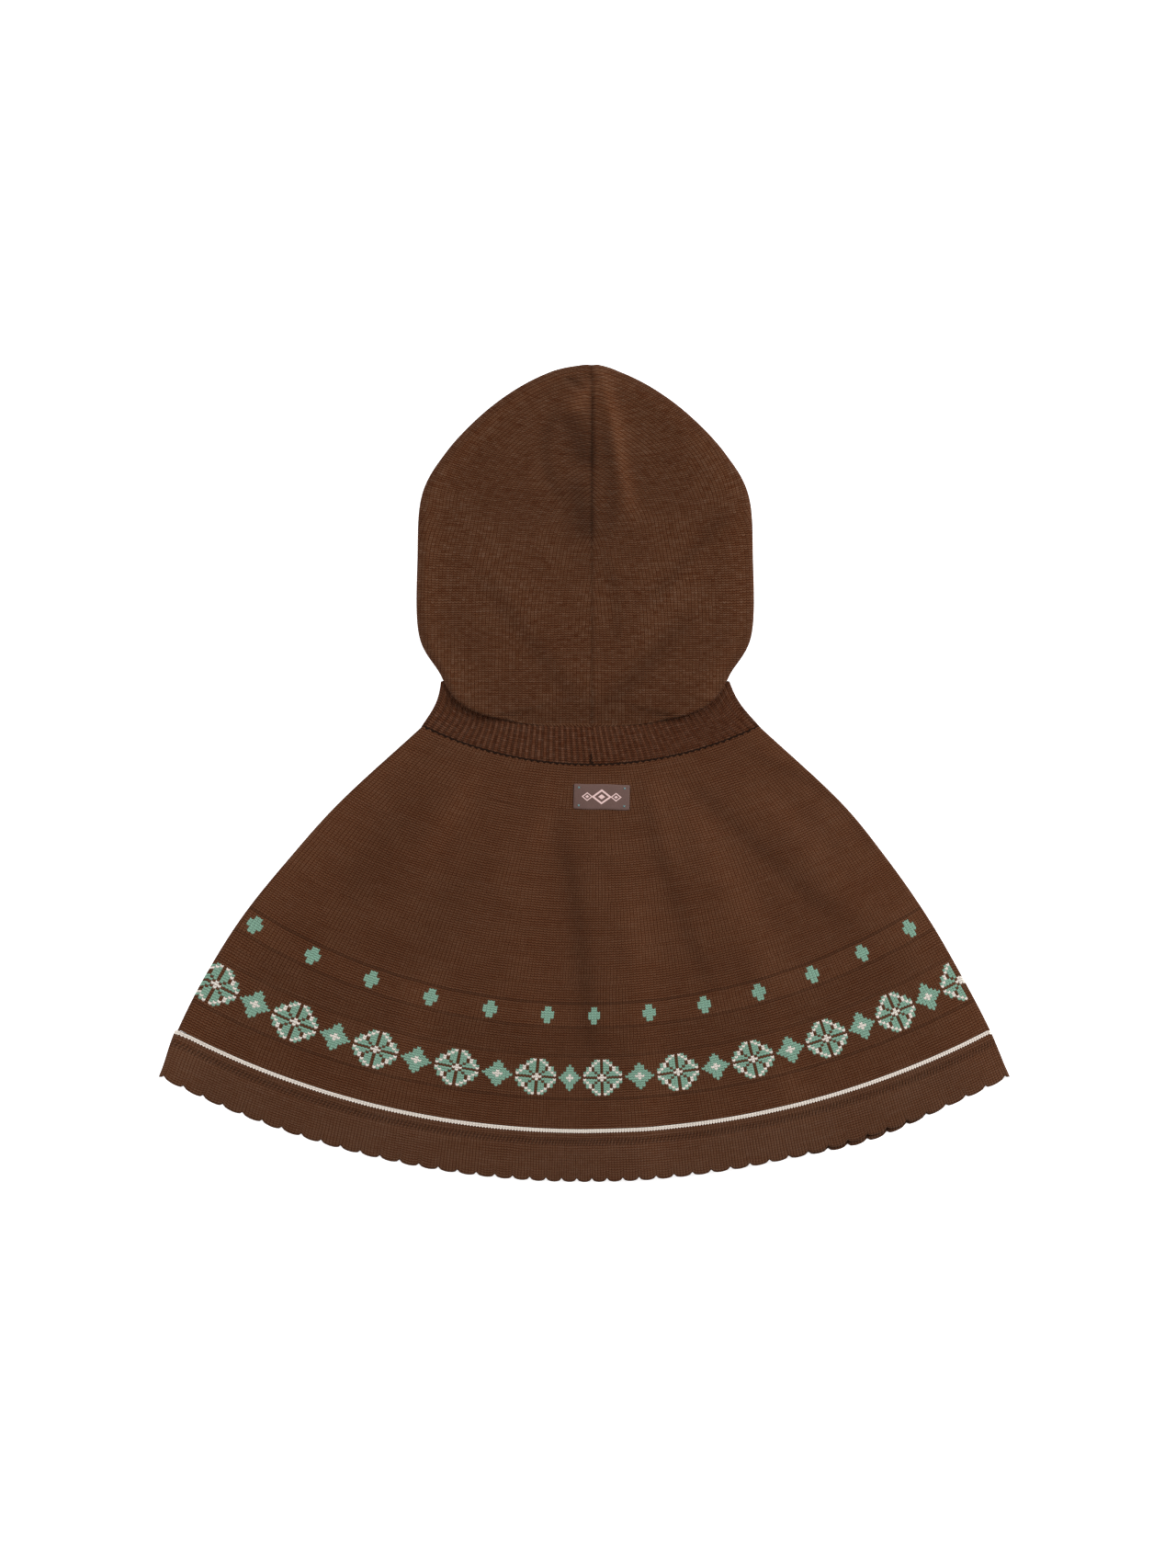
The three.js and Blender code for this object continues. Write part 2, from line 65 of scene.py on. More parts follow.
# Cloth and how its layers lie on each other
KNIT = 1.8
HEM = 2.2
HEM_FOLD_KNIT = 1.9  # the hem in its side folds
LAYER_GAP = 0.35
SEAM_GAP = 0.08
FOLD_REACH = 2.2  # how far in from a side a layer starts to turn round
FOLD_SHARE = 0.016  # of the map's width that each side fold takes, where the back takes 2
ROUND_END = 3 + 2 * FOLD_SHARE  # where the map of a round ends; the back starts it at -1
LOFT = 0.5  # how much higher the back layer lies away from its edges

# Rows of stitches from the neck seam to the hem, each an arc over the whole width.
# way is how far down the middle of the back the row lies.
BODY_ROWS = table(
    "way half middle_x side_y middle_y",
    ("neck seam", 0, 111, 4.2, 30.9, 5.1),
    ("shoulder", 0.241, 163.5, 3.9, -17.7, -60.3),
    ("upper arm", 0.416, 194.4, 2.4, -53.7, -107.7),
    ("crosses", 0.602, 224.1, 0.3, -93.3, -158.1),
    ("wide band", 0.75, 247.8, -0.6, -132.9, -198.3),
    ("white stripe", 0.8765, 265.2, -0.3, -167.1, -232.5),
    ("hem edge", 1, 277.8, 0, -198.3, -267),
)
BODY_LENGTH = 272.1  # down the middle of the back
HEM_SEAM_WAY = BODY_ROWS[-2]["way"]  # the hem starts at the white stripe
HEM_STEP = 1.5  # at the left side, the hem stands out past the body
HEM_ROUND = 1.8  # how far in from its edge the hem is rounded
FRONT_NECK_DIP = 27  # the front's neckline lies lower
NECK_PULL = dict(depth=0.5, width=2.2)  # the outside dips at the neck seam

# Scalloped edge
SCALLOPS = 43
SCALLOP_DEPTH = 2.3
SCALLOP_SQUEEZE = 1.1  # they are a little closer near the middle
FRONT_PEEK = dict(x=186, width=38, depth=3.4)
HEM_GROOVE = dict(down=8.4, width=1.6, depth=0.3)  # the line that holds the turned hem
HEM_PUFF = dict(height=0.35, up_from=9, up_to=14, down_from=26, down_to=33)

# Creases, as soft ridges along a bent line through three points; a negative height is a trough
RIDGE = "x0 y0 x1 y1 x2 y2 width height"
BODY_FOLDS = table(
    RIDGE,
    ("main fold", 19, -24, 32, -102, 40, -300, 13, 2.8),
    ("beside main", -46, -20, -38, -96, -27, -210, 17, 1.5),
    ("right shoulder", 62, -8, 96, -88, 138, -165, 13, 2.1),
    ("right arm", 96, 2, 146, -54, 196, -112, 12, 1.7),
    ("left arm", -112, -2, -158, -54, -186, -118, 13, 1.6),
)
BODY_CREASES = table(
    RIDGE,
    ("beside main, low", -22, -10, -4, -104, 5, -210, 7, -1.0),
    ("right of main", 34, 6, 52, -66, 92, -160, 6, -0.7),
    ("right, low", 56, 6, 109, -46, 170, -104, 6, -0.7),
    ("right arm", 96, 20, 152, -9, 196, -62, 6, -0.9),
    ("left shoulder", -100, 0, -131, -46, -150, -96, 17, -0.45),
    ("left, low", -64, -50, -92, -90, -106, -150, 16, -0.4),
    ("right crest", 46, 14, 78, -40, 126, -120, 8, 0.25),
    ("outer crest", 86, 14, 134, -30, 186, -90, 8, 0.2),
    ("at the neck", -22, 4, -26, -26, -34, -60, 7, 0.5),
    ("at the label", 44, 6, 50, -24, 60, -66, 7, 0.5),
    ("left of the neck", -66, 10, -84, -24, -108, -66, 8, 0.6),
    ("low left", -96, -110, -112, -168, -120, -215, 12, 0.6),
    ("low right", 118, -140, 130, -178, 140, -232, 11, 0.6),
)

# Slight waves of the cloth, each with how fast it runs across and along
WAVES = table(
    "height along_x along_y phase",
    ("long", 0.16, 0.061, 0.047, 0.4),
    ("long, other way", 0.14, -0.083, 0.059, 1.9),
    ("middling", 0.10, 0.128, -0.101, 3.1),
    ("down the cloth", 0.08, 0.035, 0.164, 4.4),
    ("short", 0.05, -0.211, -0.142, 5.2),
)

# The back layer lies close on the front one at its sides and towards the neck
BODY_HELD = dict(side=0.86, neck_from=-30, neck_to=18)

# Painted shade and light: how much darker the creases' troughs and lighter their crests and the folds'
# ridges are painted, and how much lighter a side, where the light catches it
CREASE_PAINTED_SHADING = 0.2
FOLD_PAINTED_LIGHT = 0.04
SIDE_PAINTED_LIGHT = 0.13

# Neckband
RIBS = 54
RIB_RELIEF = 0.7
BAND_KNIT = 1.7
BAND_TOP_KNIT = 1.5
BAND_WAIST = 3.4  # how far its sides are drawn in half way up
BAND_REACH = 0.985  # how much of the hood's lower edge it takes up
BAND_LAP = 4  # how far it runs up under the hood's lower edge
BAND_PULL = dict(depth=0.6, width=0.05)  # the outside dips at the neck seam
BAND_HEIGHT = 30  # on the map
BAND_LIFT = KNIT + LAYER_GAP

# Hood: stations round the outline of one half, from the tip down its side to the corner
HOOD_STATIONS = table(
    "half y seam_y top reach under under_y",
    ("tip", 0, 267, 257, 5.2, 4, 0, 228),
    ("crown", 20, 262.4, 250, 5.8, 5, 10, 225),
    ("crown side", 44, 250.8, 238, 6.4, 6, 19, 217),
    ("over the ear", 68, 233, 222, 6.9, 6, 25, 203),
    ("temple", 91, 208.6, 202, 7.2, 6, 29, 178),
    ("widest", 106.6, 180.8, 177, 7.4, 6, 30, 140),
    ("side", 109.5, 140, 141, 7.5, 6, 30, 75),
    ("cheek", 108.6, 90, 97, 7.6, 6, 30.1, 7.9),
    ("corner", 94.2, 63.3, 66, 7.9, 5, 30.1, 7.9),
)
CORNER = len(HOOD_STATIONS) - 1
FOOT = CORNER + 5
HOOD_FOOT = dict(y=29.1, seam_y=42, half=HOOD_STATIONS[CORNER]["half"], rise=34.2)
HOOD_MIDDLE_X = 0.6
HOOD_SEAM_X = 4.8
HOOD_REST = 4.35  # height of the outside beside the middle seam
HOOD_CALM = 7.6  # the most that it rises to before its edge
# How many columns one half has over its top, round its outline and underneath
HOOD_COLUMNS = dict(top=53, fold=13, under=21)
FRONT_NECK = dict(start=0.32, end=0.945, y=2.1, rise=70.6, power=2.2, side_y=60)
# Near each corner the lower edge hangs over the neckband as a soft lobe
POUCH = dict(bend=2.45, reach=2.6, tail=3.2, settle=13, clear=0.6)
# Just past the corner the cloth comes up off the front, and then it turns in
LIFT = dict(done=0.12, turn_from=0.3, turn_done=0.8, tail=1.2)
EDGE_SPREAD = 3  # how much wider the edge lies in the middle of the foot
# The middle of the lower edge is knitted on to the ribs
FLUSH = dict(start=0.1, end=0.68, top=4.2, lap_knit=0.6, thin=0.4, sink=1.0, settle=10)
TIP_NOTCH = dict(depth=1.1, width=0.12)
HOOD_FOLDS = table(
    RIDGE,
    ("right of the seam", 31, 258, 22, 216, 34, 150, 7, 1.4),
    ("left of the seam", -2, 262, -6, 236, -14, 190, 8, 0.9),
    ("lower left", -76, 150, -48, 100, -8, 42, 10, 1.0),
    ("lower right", 84, 172, 58, 116, 24, 52, 10, 1.1),
)
HOOD_CREASES = table(
    RIDGE,
    ("right ridge", 8, 278, 20, 222, 33, 158, 5, 1.7),
    ("top of it", 10, 276, 17, 244, 26, 206, 9, 0.7),
    ("beside it", 8, 240, 16, 200, 14, 144, 4, -0.7),
    ("left peak", 4, 258, -3, 242, -8, 230, 7, 1.4),
    ("left notch", -15, 242, -5, 219, 3, 194, 8, -1.4),
    ("tip", -12, 259, -6, 254, 0, 248, 3, -1.2),
    ("left arc", -14, 246, -26, 212, -6, 164, 4, -0.8),
    ("under the arc", -10, 196, -2, 170, 2, 146, 8, -1.2),
    ("sunk middle", 0, 240, -2, 206, 4, 120, 16, -0.45),
    ("low by the seam", 10, 150, 18, 121, 19, 76, 4, -0.6),
    ("long left", -78, 146, -44, 96, 4, 34, 7, -1.0),
    ("long right", 102, 180, 78, 152, 38, 104, 5, -0.8),
    ("low right", 74, 112, 48, 79, 4, 34, 7, -0.9),
)
FOOT_PAINTED_SHADE = -0.17  # painted shade where the hood runs on into the ribs
# Painted shade along the sewn middle's trough, darker on the crown
SEAM_PAINTED_SHADE = dict(width=1.4, low=-0.16, crown=-0.3, crown_from=140, crown_to=170)
# The halves turn down along the middle seam, more so on the crown and not at the tip
SEAM_ROLL = dict(
    width=1.7, depth=0.5, crown_depth=1.5, crown_from=150, crown_to=225, tip_from=245, tip_to=262,
)

LABEL = dict(width=36.5, height=16.5, x=11.3, y=-15.9, tilt=-1.3, thick=0.6, lift=0.3)
# Its corners are rounded, its edge is thin over a width, and near the edge it sags a little
LABEL_EDGE = dict(corner=0.8, pull=0.35, width=0.5, thin=0.12, sag=0.12, sag_width=2.5)
LOZENGES = table(
    "middle wide tall",
    ("large", 0.0, 6.6, 4.9),
    ("left", -9.4, 3.6, 2.8),
    ("right", 9.4, 3.6, 2.8),
)
TACK = dict(inset_x=3.4, inset_y=2.4, reach=0.55, radius=0.22, bow=0.22, cross=0.06)
HOOD_SEAM = dict(radius=0.5, sink=0.7, end=1.6, lap=9)
# The linking stitches at the neck: each is thick in its middle and drawn in at its ends
NECK_SEAM = dict(inset=2.2, radius=0.38, swell=0.36, jog=0.55, down=0.3, back=3.3, front=0.95, turn=0.6)
NECK_SEAM_STEPS = 12  # to a rib
KNOT = dict(radius=0.42, y=5.6, length=9, sway=1.0, lift=0.25)  # the gathers at the foot of the hood's seam

# Gauge of the knit
COURSE = 1.56  # height of a course
HOOD_WALE = 2.2
HOOD_COURSE = 1.48
HOOD_BLEND = 13  # how softly the wales turn from the side to the crown
# The hood's stitches follow its outline from the tip to a station and then straight down; crown_y is where
# its crown starts, reach how far from the outline they follow it, and near how softly they turn with it
HOOD_FLOW = dict(station=6.6, low_y=-30, crown_y=176, near=9, reach=48)
HEM_WALES = 288  # across the back
RIB_COURSE = 1.6
# Wales across the back between rows of increases, which step up with the way from the neck
WALE_TIERS = [(0, 112), (0.11, 134), (0.22, 156), (0.33, 178), (0.44, 196), (0.53, 210.3), (0.665, 240)]
LEAN = 0.06  # stitches are a little closer on the right half of the back
CROWD = 0.0445  # a little closer at both sides
RIGHT_END = 0.012  # and a little wider again towards the right side
PINCH = dict(across=-0.032, amount=0.02, width=0.06)  # and closest in the main fold

STRIPE = dict(courses=1.7, zigzag=1.1)
# Figures, in wales and courses from their middles
CROSS_ROW = dict(way=0.602, wales=17, first=-103.5, arm=1.2, tall=3.2, wide=2.2)
STAR_BAND = dict(
    way=0.7525, wales=24, squash=0.86, petal=3.5, reach=6.5, corner=8.5, tips=7, gem=4.5, heart=1.5,
)
# Painted light and shade: the ground is a little lighter beside the crosses and a little darker between
# them and the stars
CROSS_STRIP = dict(start=3.4, end=5.4, lighter=0.045)
LOW_STRIP = dict(cross_start=4, cross_end=7, star_start=6, star_end=10, darker=0.055)
# Courses that lie a little lower, painted darker as painted shade: the band they belong to, how many
# courses off its middle, how dark
BAND_EDGES = [("crosses", -5, 0.34), ("crosses", 5, 0.24), ("stars", -9, 0.16), ("stars", 9, 0.3)]

# Stage: the lights and the floor's size in metres, with each light's share of the key light's power
LIGHTS = table(
    "x y z size share",
    ("key", 1.3, 0.6, 1.05, 0.9, 1),
    ("fill", -1.35, 0.35, 1.0, 1.2, 0.55),
)
SKY = 0.37
FLOOR_SIZE = 6
FLOOR_GAP = 0.2  # below the cape
# A pixel of the photograph on the cape, and in such pixels its height and its middle from the origin
PHOTO = dict(pixel=0.6, height=1706, x=4, y=-12.5)
SENSOR = 36


# Small helpers


def smooth(low, high, value):
    """From 0 below low to 1 above high, without a bend."""
    part = np.clip((value - low) / (high - low), 0, 1)
    return part * part * (3 - 2 * part)


def mix(a, b, part):
    """From a to b as part runs from 0 to 1."""
    return a + (b - a) * part


def bell(away, width):
    """1 at a place and fading away from it on both sides."""
    return np.exp(-((away / width) ** 2))


def unit(vector):
    return vector / np.linalg.norm(vector, axis=-1, keepdims=True)


def read(rows, key, at, column):
    """A column of a table, read by a smooth curve at any key between the rows."""
    keys = np.array([row[key] for row in rows], float)
    values = np.array([row[column] for row in rows], float)
    places = np.arange(len(rows))
    before = np.maximum(places - 1, 0)
    after = np.minimum(places + 1, len(rows) - 1)
    slopes = (values[after] - values[before]) / (keys[after] - keys[before])
    at = np.asarray(at, float)
    low = np.clip(np.searchsorted(keys[1:], at, side="left"), 0, len(rows) - 2)
    span = keys[low + 1] - keys[low]
    t = (at - keys[low]) / span
    bend = (2 * t - 3) * t * t
    ends = (1 + bend) * values[low] - bend * values[low + 1]
    return ends + ((t - 2) * t + 1) * t * slopes[low] * span + (t - 1) * t * t * slopes[low + 1] * span


def ridges(folds, x, y):
    """The height of the ridges of a table at places seen from above."""
    height = np.zeros(np.broadcast(x, y).shape)
    for fold in folds:
        run = fold["y0"] - fold["y2"]
        way = (fold["y0"] - y) / run
        bend_way = (fold["y0"] - fold["y1"]) / run
        bow = (fold["x1"] - mix(fold["x0"], fold["x2"], bend_way)) / (bend_way * (1 - bend_way))
        crest = mix(fold["x0"], fold["x2"], way) + bow * way * (1 - way)
        lean = (fold["x2"] - fold["x0"]) / -run
        away = (x - crest) / math.hypot(1, lean)
        ends = smooth(0, 0.3, way) * (1 - smooth(0.75, 1, way))
        height += fold["height"] * ends * bell(away, fold["width"])
    return height


def unevenness(x, y):
    """The slight waves of cloth that nobody has pressed."""
    return sum(w["height"] * np.sin(w["along_x"] * x + w["along_y"] * y + w["phase"]) for w in WAVES)


SMOOTH_ANGLE = 50  # degrees; a sharper edge stays sharp

# From where to where each part of a wall lies up the map for baking: its outside and inside first
BAKE = dict(
    faces=((0.0, 0.78), (0.82, 1.0)),
    ends=((0.785, 0.792), (0.795, 0.802)),
    sides=((0.804, 0.810), (0.812, 0.818)),
)


def build_wall(name, outer, inner, stitches, material, ring=False, painted_shading=None):
    """A closed wall of cloth from two grids of points, with a map in stitches and one for baking.

    In a ring the last column lies on the first one. Its last argument is the painted shade and light at
    each place.
    """
    rows, columns = outer.shape[:2]
    used = columns - 1 if ring else columns
    places = np.concatenate([outer[:, :used].reshape(-1, 3), inner[:, :used].reshape(-1, 3)])
    row, column = np.meshgrid(np.arange(rows - 1), np.arange(columns - 1), indexing="ij")
    row, column = row.ravel(), column.ravel()
    corners, knit_map, bake_map = [], [], []

    def add(layers, at_rows, at_columns, bake_u, bake_v):
        """Quads from their four corners, each given as one array for all of them."""
        quad = [(n * rows + r) * used + c % used for n, r, c in zip(layers, at_rows, at_columns)]
        corners.append(np.stack(quad, 1))
        knit_map.append(np.stack([stitches[r, c] for r, c in zip(at_rows, at_columns)], 1))
        bake_map.append(np.stack([np.stack([u, v], 1) for u, v in zip(bake_u, bake_v)], 1))

    across = [column / (columns - 1), (column + 1) / (columns - 1)]
    down = [row / (rows - 1), (row + 1) / (rows - 1)]
    for layer, (low, high) in enumerate(BAKE["faces"]):
        u = [across[0], across[1], across[1], across[0]]
        v = [mix(low, high, down[k]) for k in (0, 0, 1, 1)]
        add([layer] * 4, [row, row, row + 1, row + 1], [column, column + 1, column + 1, column], u, v)
        if layer == 1:
            corners[-1] = corners[-1][:, ::-1]
            knit_map[-1] = knit_map[-1][:, ::-1]
            bake_map[-1] = bake_map[-1][:, ::-1]
    step = np.arange(columns - 1)
    ends = ((0, (1, 0, 0, 1)), (rows - 1, (0, 1, 1, 0)))
    for (edge_row, order), (low, high) in zip(ends, BAKE["ends"]):
        edge = np.full(columns - 1, edge_row)
        at_columns = [step + k for k in order]
        v = [np.full(columns - 1, value) for value in (low, low, high, high)]
        add([0, 0, 1, 1], [edge] * 4, at_columns, [c / (columns - 1) for c in at_columns], v)
    if not ring:
        step = np.arange(rows - 1)
        sides = ((0, (0, 1, 1, 0)), (columns - 1, (1, 0, 0, 1)))
        for (edge_column, order), (low, high) in zip(sides, BAKE["sides"]):
            edge = np.full(rows - 1, edge_column)
            at_rows = [step + k for k in order]
            v = [np.full(rows - 1, value) for value in (low, low, high, high)]
            add([0, 0, 1, 1], at_rows, [edge] * 4, [r / (rows - 1) for r in at_rows], v)
    piece = finish_mesh(name, places, np.concatenate(corners), material, knit_map, bake_map)
    # Painted shade and painted light go on the outside only
    if painted_shading is not None:
        values = np.concatenate([painted_shading[:, :used].ravel(), np.zeros(rows * used)])
        layer = piece.data.attributes.new("PaintedShading", "FLOAT", "POINT")
        layer.data.foreach_set("value", values.astype(np.float32))
    return piece


def finish_mesh(name, places, quads, material, knit_map=None, bake_map=None):
    """A shown piece from its points in millimetres and its faces, riding on the body."""
    a, b, c = (places[quads[:, k]] for k in (0, 1, 2))
    d = places[quads[:, 3]]
    volume = (a * (np.cross(b, c) + np.cross(c, d))).sum()
    flip = volume < 0
    if flip:
        quads = quads[:, ::-1]
    mesh = bpy.data.meshes.new(name)
    mesh.from_pydata((places * MM).tolist(), [], quads.tolist())
    for title, parts in (("Knit", knit_map), ("OFBake", bake_map)):
        if parts is None:
            continue
        values = np.concatenate(parts)
        if flip:
            values = values[:, ::-1]
        layer = mesh.uv_layers.new(name=title)
        layer.data.foreach_set("uv", values.reshape(-1).astype(np.float32))
    mesh.materials.append(material)
    mesh.update()
    piece = bpy.data.objects.new(name, mesh)
    bpy.context.scene.collection.objects.link(piece)
    bpy.ops.object.select_all(action="DESELECT")
    piece.select_set(True)
    bpy.context.view_layer.objects.active = piece
    bpy.ops.object.shade_smooth_by_angle(angle=math.radians(SMOOTH_ANGLE))
    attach(piece, BODY)
    return piece


# Body and hem: one round of cloth, folded at both sides


def body_place(across, way, dip=0.0):
    """A place on the body from -1 to 1 across it, on the arc of a way down from the neck."""
    half = read(BODY_ROWS, "way", way, "half")
    side_y = read(BODY_ROWS, "way", way, "side_y")
    middle_y = read(BODY_ROWS, "way", way, "middle_y") - dip * (1 - smooth(0, 0.8, way))
    drop = side_y - middle_y
    radius = (half * half + drop * drop) / (2 * drop)
    off = across * half
    x = read(BODY_ROWS, "way", way, "middle_x") + off
    return x, middle_y + radius - np.sqrt(radius * radius - off * off)


def body_lift(x, y, across):
    """How much higher than its plain form the back layer lies."""
    held = 1 - smooth(BODY_HELD["side"], 1, np.abs(across))
    held = held * (1 - smooth(BODY_HELD["neck_from"], BODY_HELD["neck_to"], y))
    return held * (LOFT + ridges(BODY_FOLDS + BODY_CREASES, x, y) + unevenness(x, y))


def stitch_place(across):
    """Where a stitch lies across the back, with more of them on the right and in the main fold."""
    pinch = PINCH["amount"] * np.tanh((across - PINCH["across"]) / PINCH["width"])
    wide = RIGHT_END * smooth(0.35, 0.8, across)
    return across + LEAN * (across ** 2 - 1) + CROWD * (across ** 3 - across) + pinch - wide


def round_columns(back, front, fold=8):
    """Columns of a folded round: the layer's name, the place across and the turn of each."""
    turns = np.linspace(0, math.pi, fold + 1)[1:-1]
    columns = [("back", a, 0.0) for a in back]
    columns += [("right", 1.0, t) for t in turns]
    columns += [("front", a, math.pi) for a in front[::-1]]
    columns += [("left", -1.0, t) for t in turns[::-1]]
    columns.append(columns[0])
    return columns


def round_cloth(name, columns, rows, courses, place_at, top_at, knit, front_knit, material,
                spread=stitch_place, painted_shading_at=None):
    """A folded round of cloth.

    place_at gives where a column lies, and top_at the height of the back layer's outside and inside.
    knit is how thick the cloth is in its side folds, and front_knit in its front layer.
    """
    outer = np.zeros((len(rows), len(columns), 3))
    inner = np.zeros_like(outer)
    stitches = np.zeros((len(rows), len(columns), 2))
    stitches[..., 1] = courses[:, None]
    painted_shading = np.zeros((len(rows), len(columns)))
    half = read(BODY_ROWS, "way", np.clip(rows, 0, 1), "half")
    for index, (layer, across, turn) in enumerate(columns):
        inset = 1 - FOLD_REACH / half
        x, y = place_at(across, across * inset, rows, turn)
        top, low = top_at(x, y, across * inset, rows)
        if painted_shading_at and layer == "back":
            painted_shading[:, index] = painted_shading_at(x, y, across)
        side = np.sign(across) if layer in ("right", "left") else 0
        out_x = side * FOLD_REACH * math.sin(turn)
        in_x = side * max(FOLD_REACH - knit, 0.1) * math.sin(turn)
        part = (1 - math.cos(turn)) / 2
        outer[:, index] = np.stack([x + out_x, y, mix(top, 0, part)], 1)
        inner[:, index] = np.stack([x + in_x, y, mix(low, front_knit, part)], 1)
        along = {
            "back": spread(across),
            "right": 1 + FOLD_SHARE * turn / math.pi,
            "front": 2 - spread(across) + FOLD_SHARE,
            "left": ROUND_END - FOLD_SHARE * turn / math.pi,
        }
        stitches[:, index, 0] = along[layer]
    stitches[:, -1, 0] = ROUND_END
    return build_wall(name, outer, inner, stitches, material, ring=True, painted_shading=painted_shading)


def body_painted_shading(x, y, across):
    """Painted shade in the creases' troughs, and painted light on their crests, on the folds and at the
    sides.
    """
    side = SIDE_PAINTED_LIGHT * smooth(0.88, 0.98, abs(across))
    return CREASE_PAINTED_SHADING * ridges(BODY_CREASES, x, y) + FOLD_PAINTED_LIGHT * ridges(BODY_FOLDS, x, y) + side


def make_body(material):
    columns = round_columns(np.linspace(-1, 1, 201), np.linspace(-1, 1, 61))
    rows = np.concatenate([[0, 0.004, 0.01], np.linspace(0.02, HEM_SEAM_WAY - SEAM_GAP / BODY_LENGTH, 86)])

    def place_at(column, across, way, turn):
        return body_place(across, way, FRONT_NECK_DIP * turn / math.pi)

    def top_at(x, y, across, way):
        under = mix(KNIT, HEM, smooth(0.78, HEM_SEAM_WAY, way))
        low = under + LAYER_GAP + body_lift(x, y, across)
        pulled = NECK_PULL["depth"] * bell(way * BODY_LENGTH, NECK_PULL["width"])
        return low + KNIT - pulled * (1 - smooth(0.9, 1, np.abs(across))), low

    courses = rows * BODY_LENGTH / COURSE
    return round_cloth("body_knit", columns, rows, courses, place_at, top_at, KNIT, KNIT, material,
                       painted_shading_at=body_painted_shading)


def scallop_count(across):
    return SCALLOPS / 2 * (1 + across) + SCALLOP_SQUEEZE * np.tanh(6 * across)


def scallop_columns(steps):
    """Places across the hem, with steps of them to each scallop and one in each notch."""
    dense = np.linspace(-1, 1, 4001)
    counts = scallop_count(dense)
    first = math.ceil(counts[0] * steps + 0.3)
    last = math.floor(counts[-1] * steps - 0.3)
    inside = np.interp(np.arange(first, last + 1) / steps, counts, dense)
    return np.concatenate([[-1], inside, [1]])


def scallop_notch(across):
    count = scallop_count(across)
    part = count - math.floor(count + 1e-6)
    return SCALLOP_DEPTH * (1 - math.sqrt(max(0, 1 - (2 * part - 1) ** 2)))


def make_hem(material):
    columns = round_columns(scallop_columns(8), scallop_columns(6))
    edge_rows = 1 - np.array([1.6, 1.1, 0.7, 0.35, 0.12, 0]) / BODY_LENGTH
    rows = np.concatenate([np.linspace(HEM_SEAM_WAY, 1 - 2.6 / BODY_LENGTH, 30), edge_rows])

    def place_at(column, across, way, turn):
        x, y = body_place(across, way)
        front = turn / math.pi
        peek = front * FRONT_PEEK["depth"] * bell(x - FRONT_PEEK["x"], FRONT_PEEK["width"])
        step = HEM_STEP * (1 - smooth(-1, -0.97, column)) * (1 - smooth(HEM_SEAM_WAY, 1, way))
        return x - step, y + smooth(0.955, 1, way) * (scallop_notch(column) - peek)

    def edge_round(way):
        inset = np.clip((1 - way) * BODY_LENGTH / HEM_ROUND, 0.02, 1)
        return np.sqrt(1 - (1 - inset) ** 2)

    def top_at(x, y, across, way):
        low = HEM + LAYER_GAP + body_lift(x, y, across)
        down = (way - HEM_SEAM_WAY) * BODY_LENGTH
        flat = 1 - smooth(0.93, 1, np.abs(across))
        groove = HEM_GROOVE["depth"] * bell(down - HEM_GROOVE["down"], HEM_GROOVE["width"])
        puff = HEM_PUFF["height"] * smooth(HEM_PUFF["up_from"], HEM_PUFF["up_to"], down)
        puff = puff * (1 - smooth(HEM_PUFF["down_from"], HEM_PUFF["down_to"], down))
        top = low + HEM + flat * (puff - groove)
        middle = (top + low) / 2
        return mix(middle, top, edge_round(way)), mix(middle, low, edge_round(way))

    courses = (rows - HEM_SEAM_WAY) * BODY_LENGTH / COURSE
    front_knit = HEM * edge_round(rows)
    return round_cloth("hem_knit", columns, rows, courses, place_at, top_at, HEM_FOLD_KNIT, front_knit,
                       material, painted_shading_at=body_painted_shading)


# Neckband


def foot_line(off):
    """The hood's lower edge, from 0 at its middle to 1 at its corners."""
    return HOOD_FOOT["y"] + HOOD_FOOT["rise"] * (0.45 * off ** 2 + 0.55 * off ** 10)


def back_band_top(off):
    return foot_line(off) + BAND_LAP * (1 - smooth(0.6, 0.88, off))


def front_neckline(off):
    height = FRONT_NECK["y"] + FRONT_NECK["rise"] * off ** FRONT_NECK["power"]
    return np.minimum(height, FRONT_NECK["side_y"])


def flush(off):
    """1 in the middle of the hood's lower edge, where it runs on into the ribs."""
    return 1 - smooth(FLUSH["start"], FLUSH["end"], off)


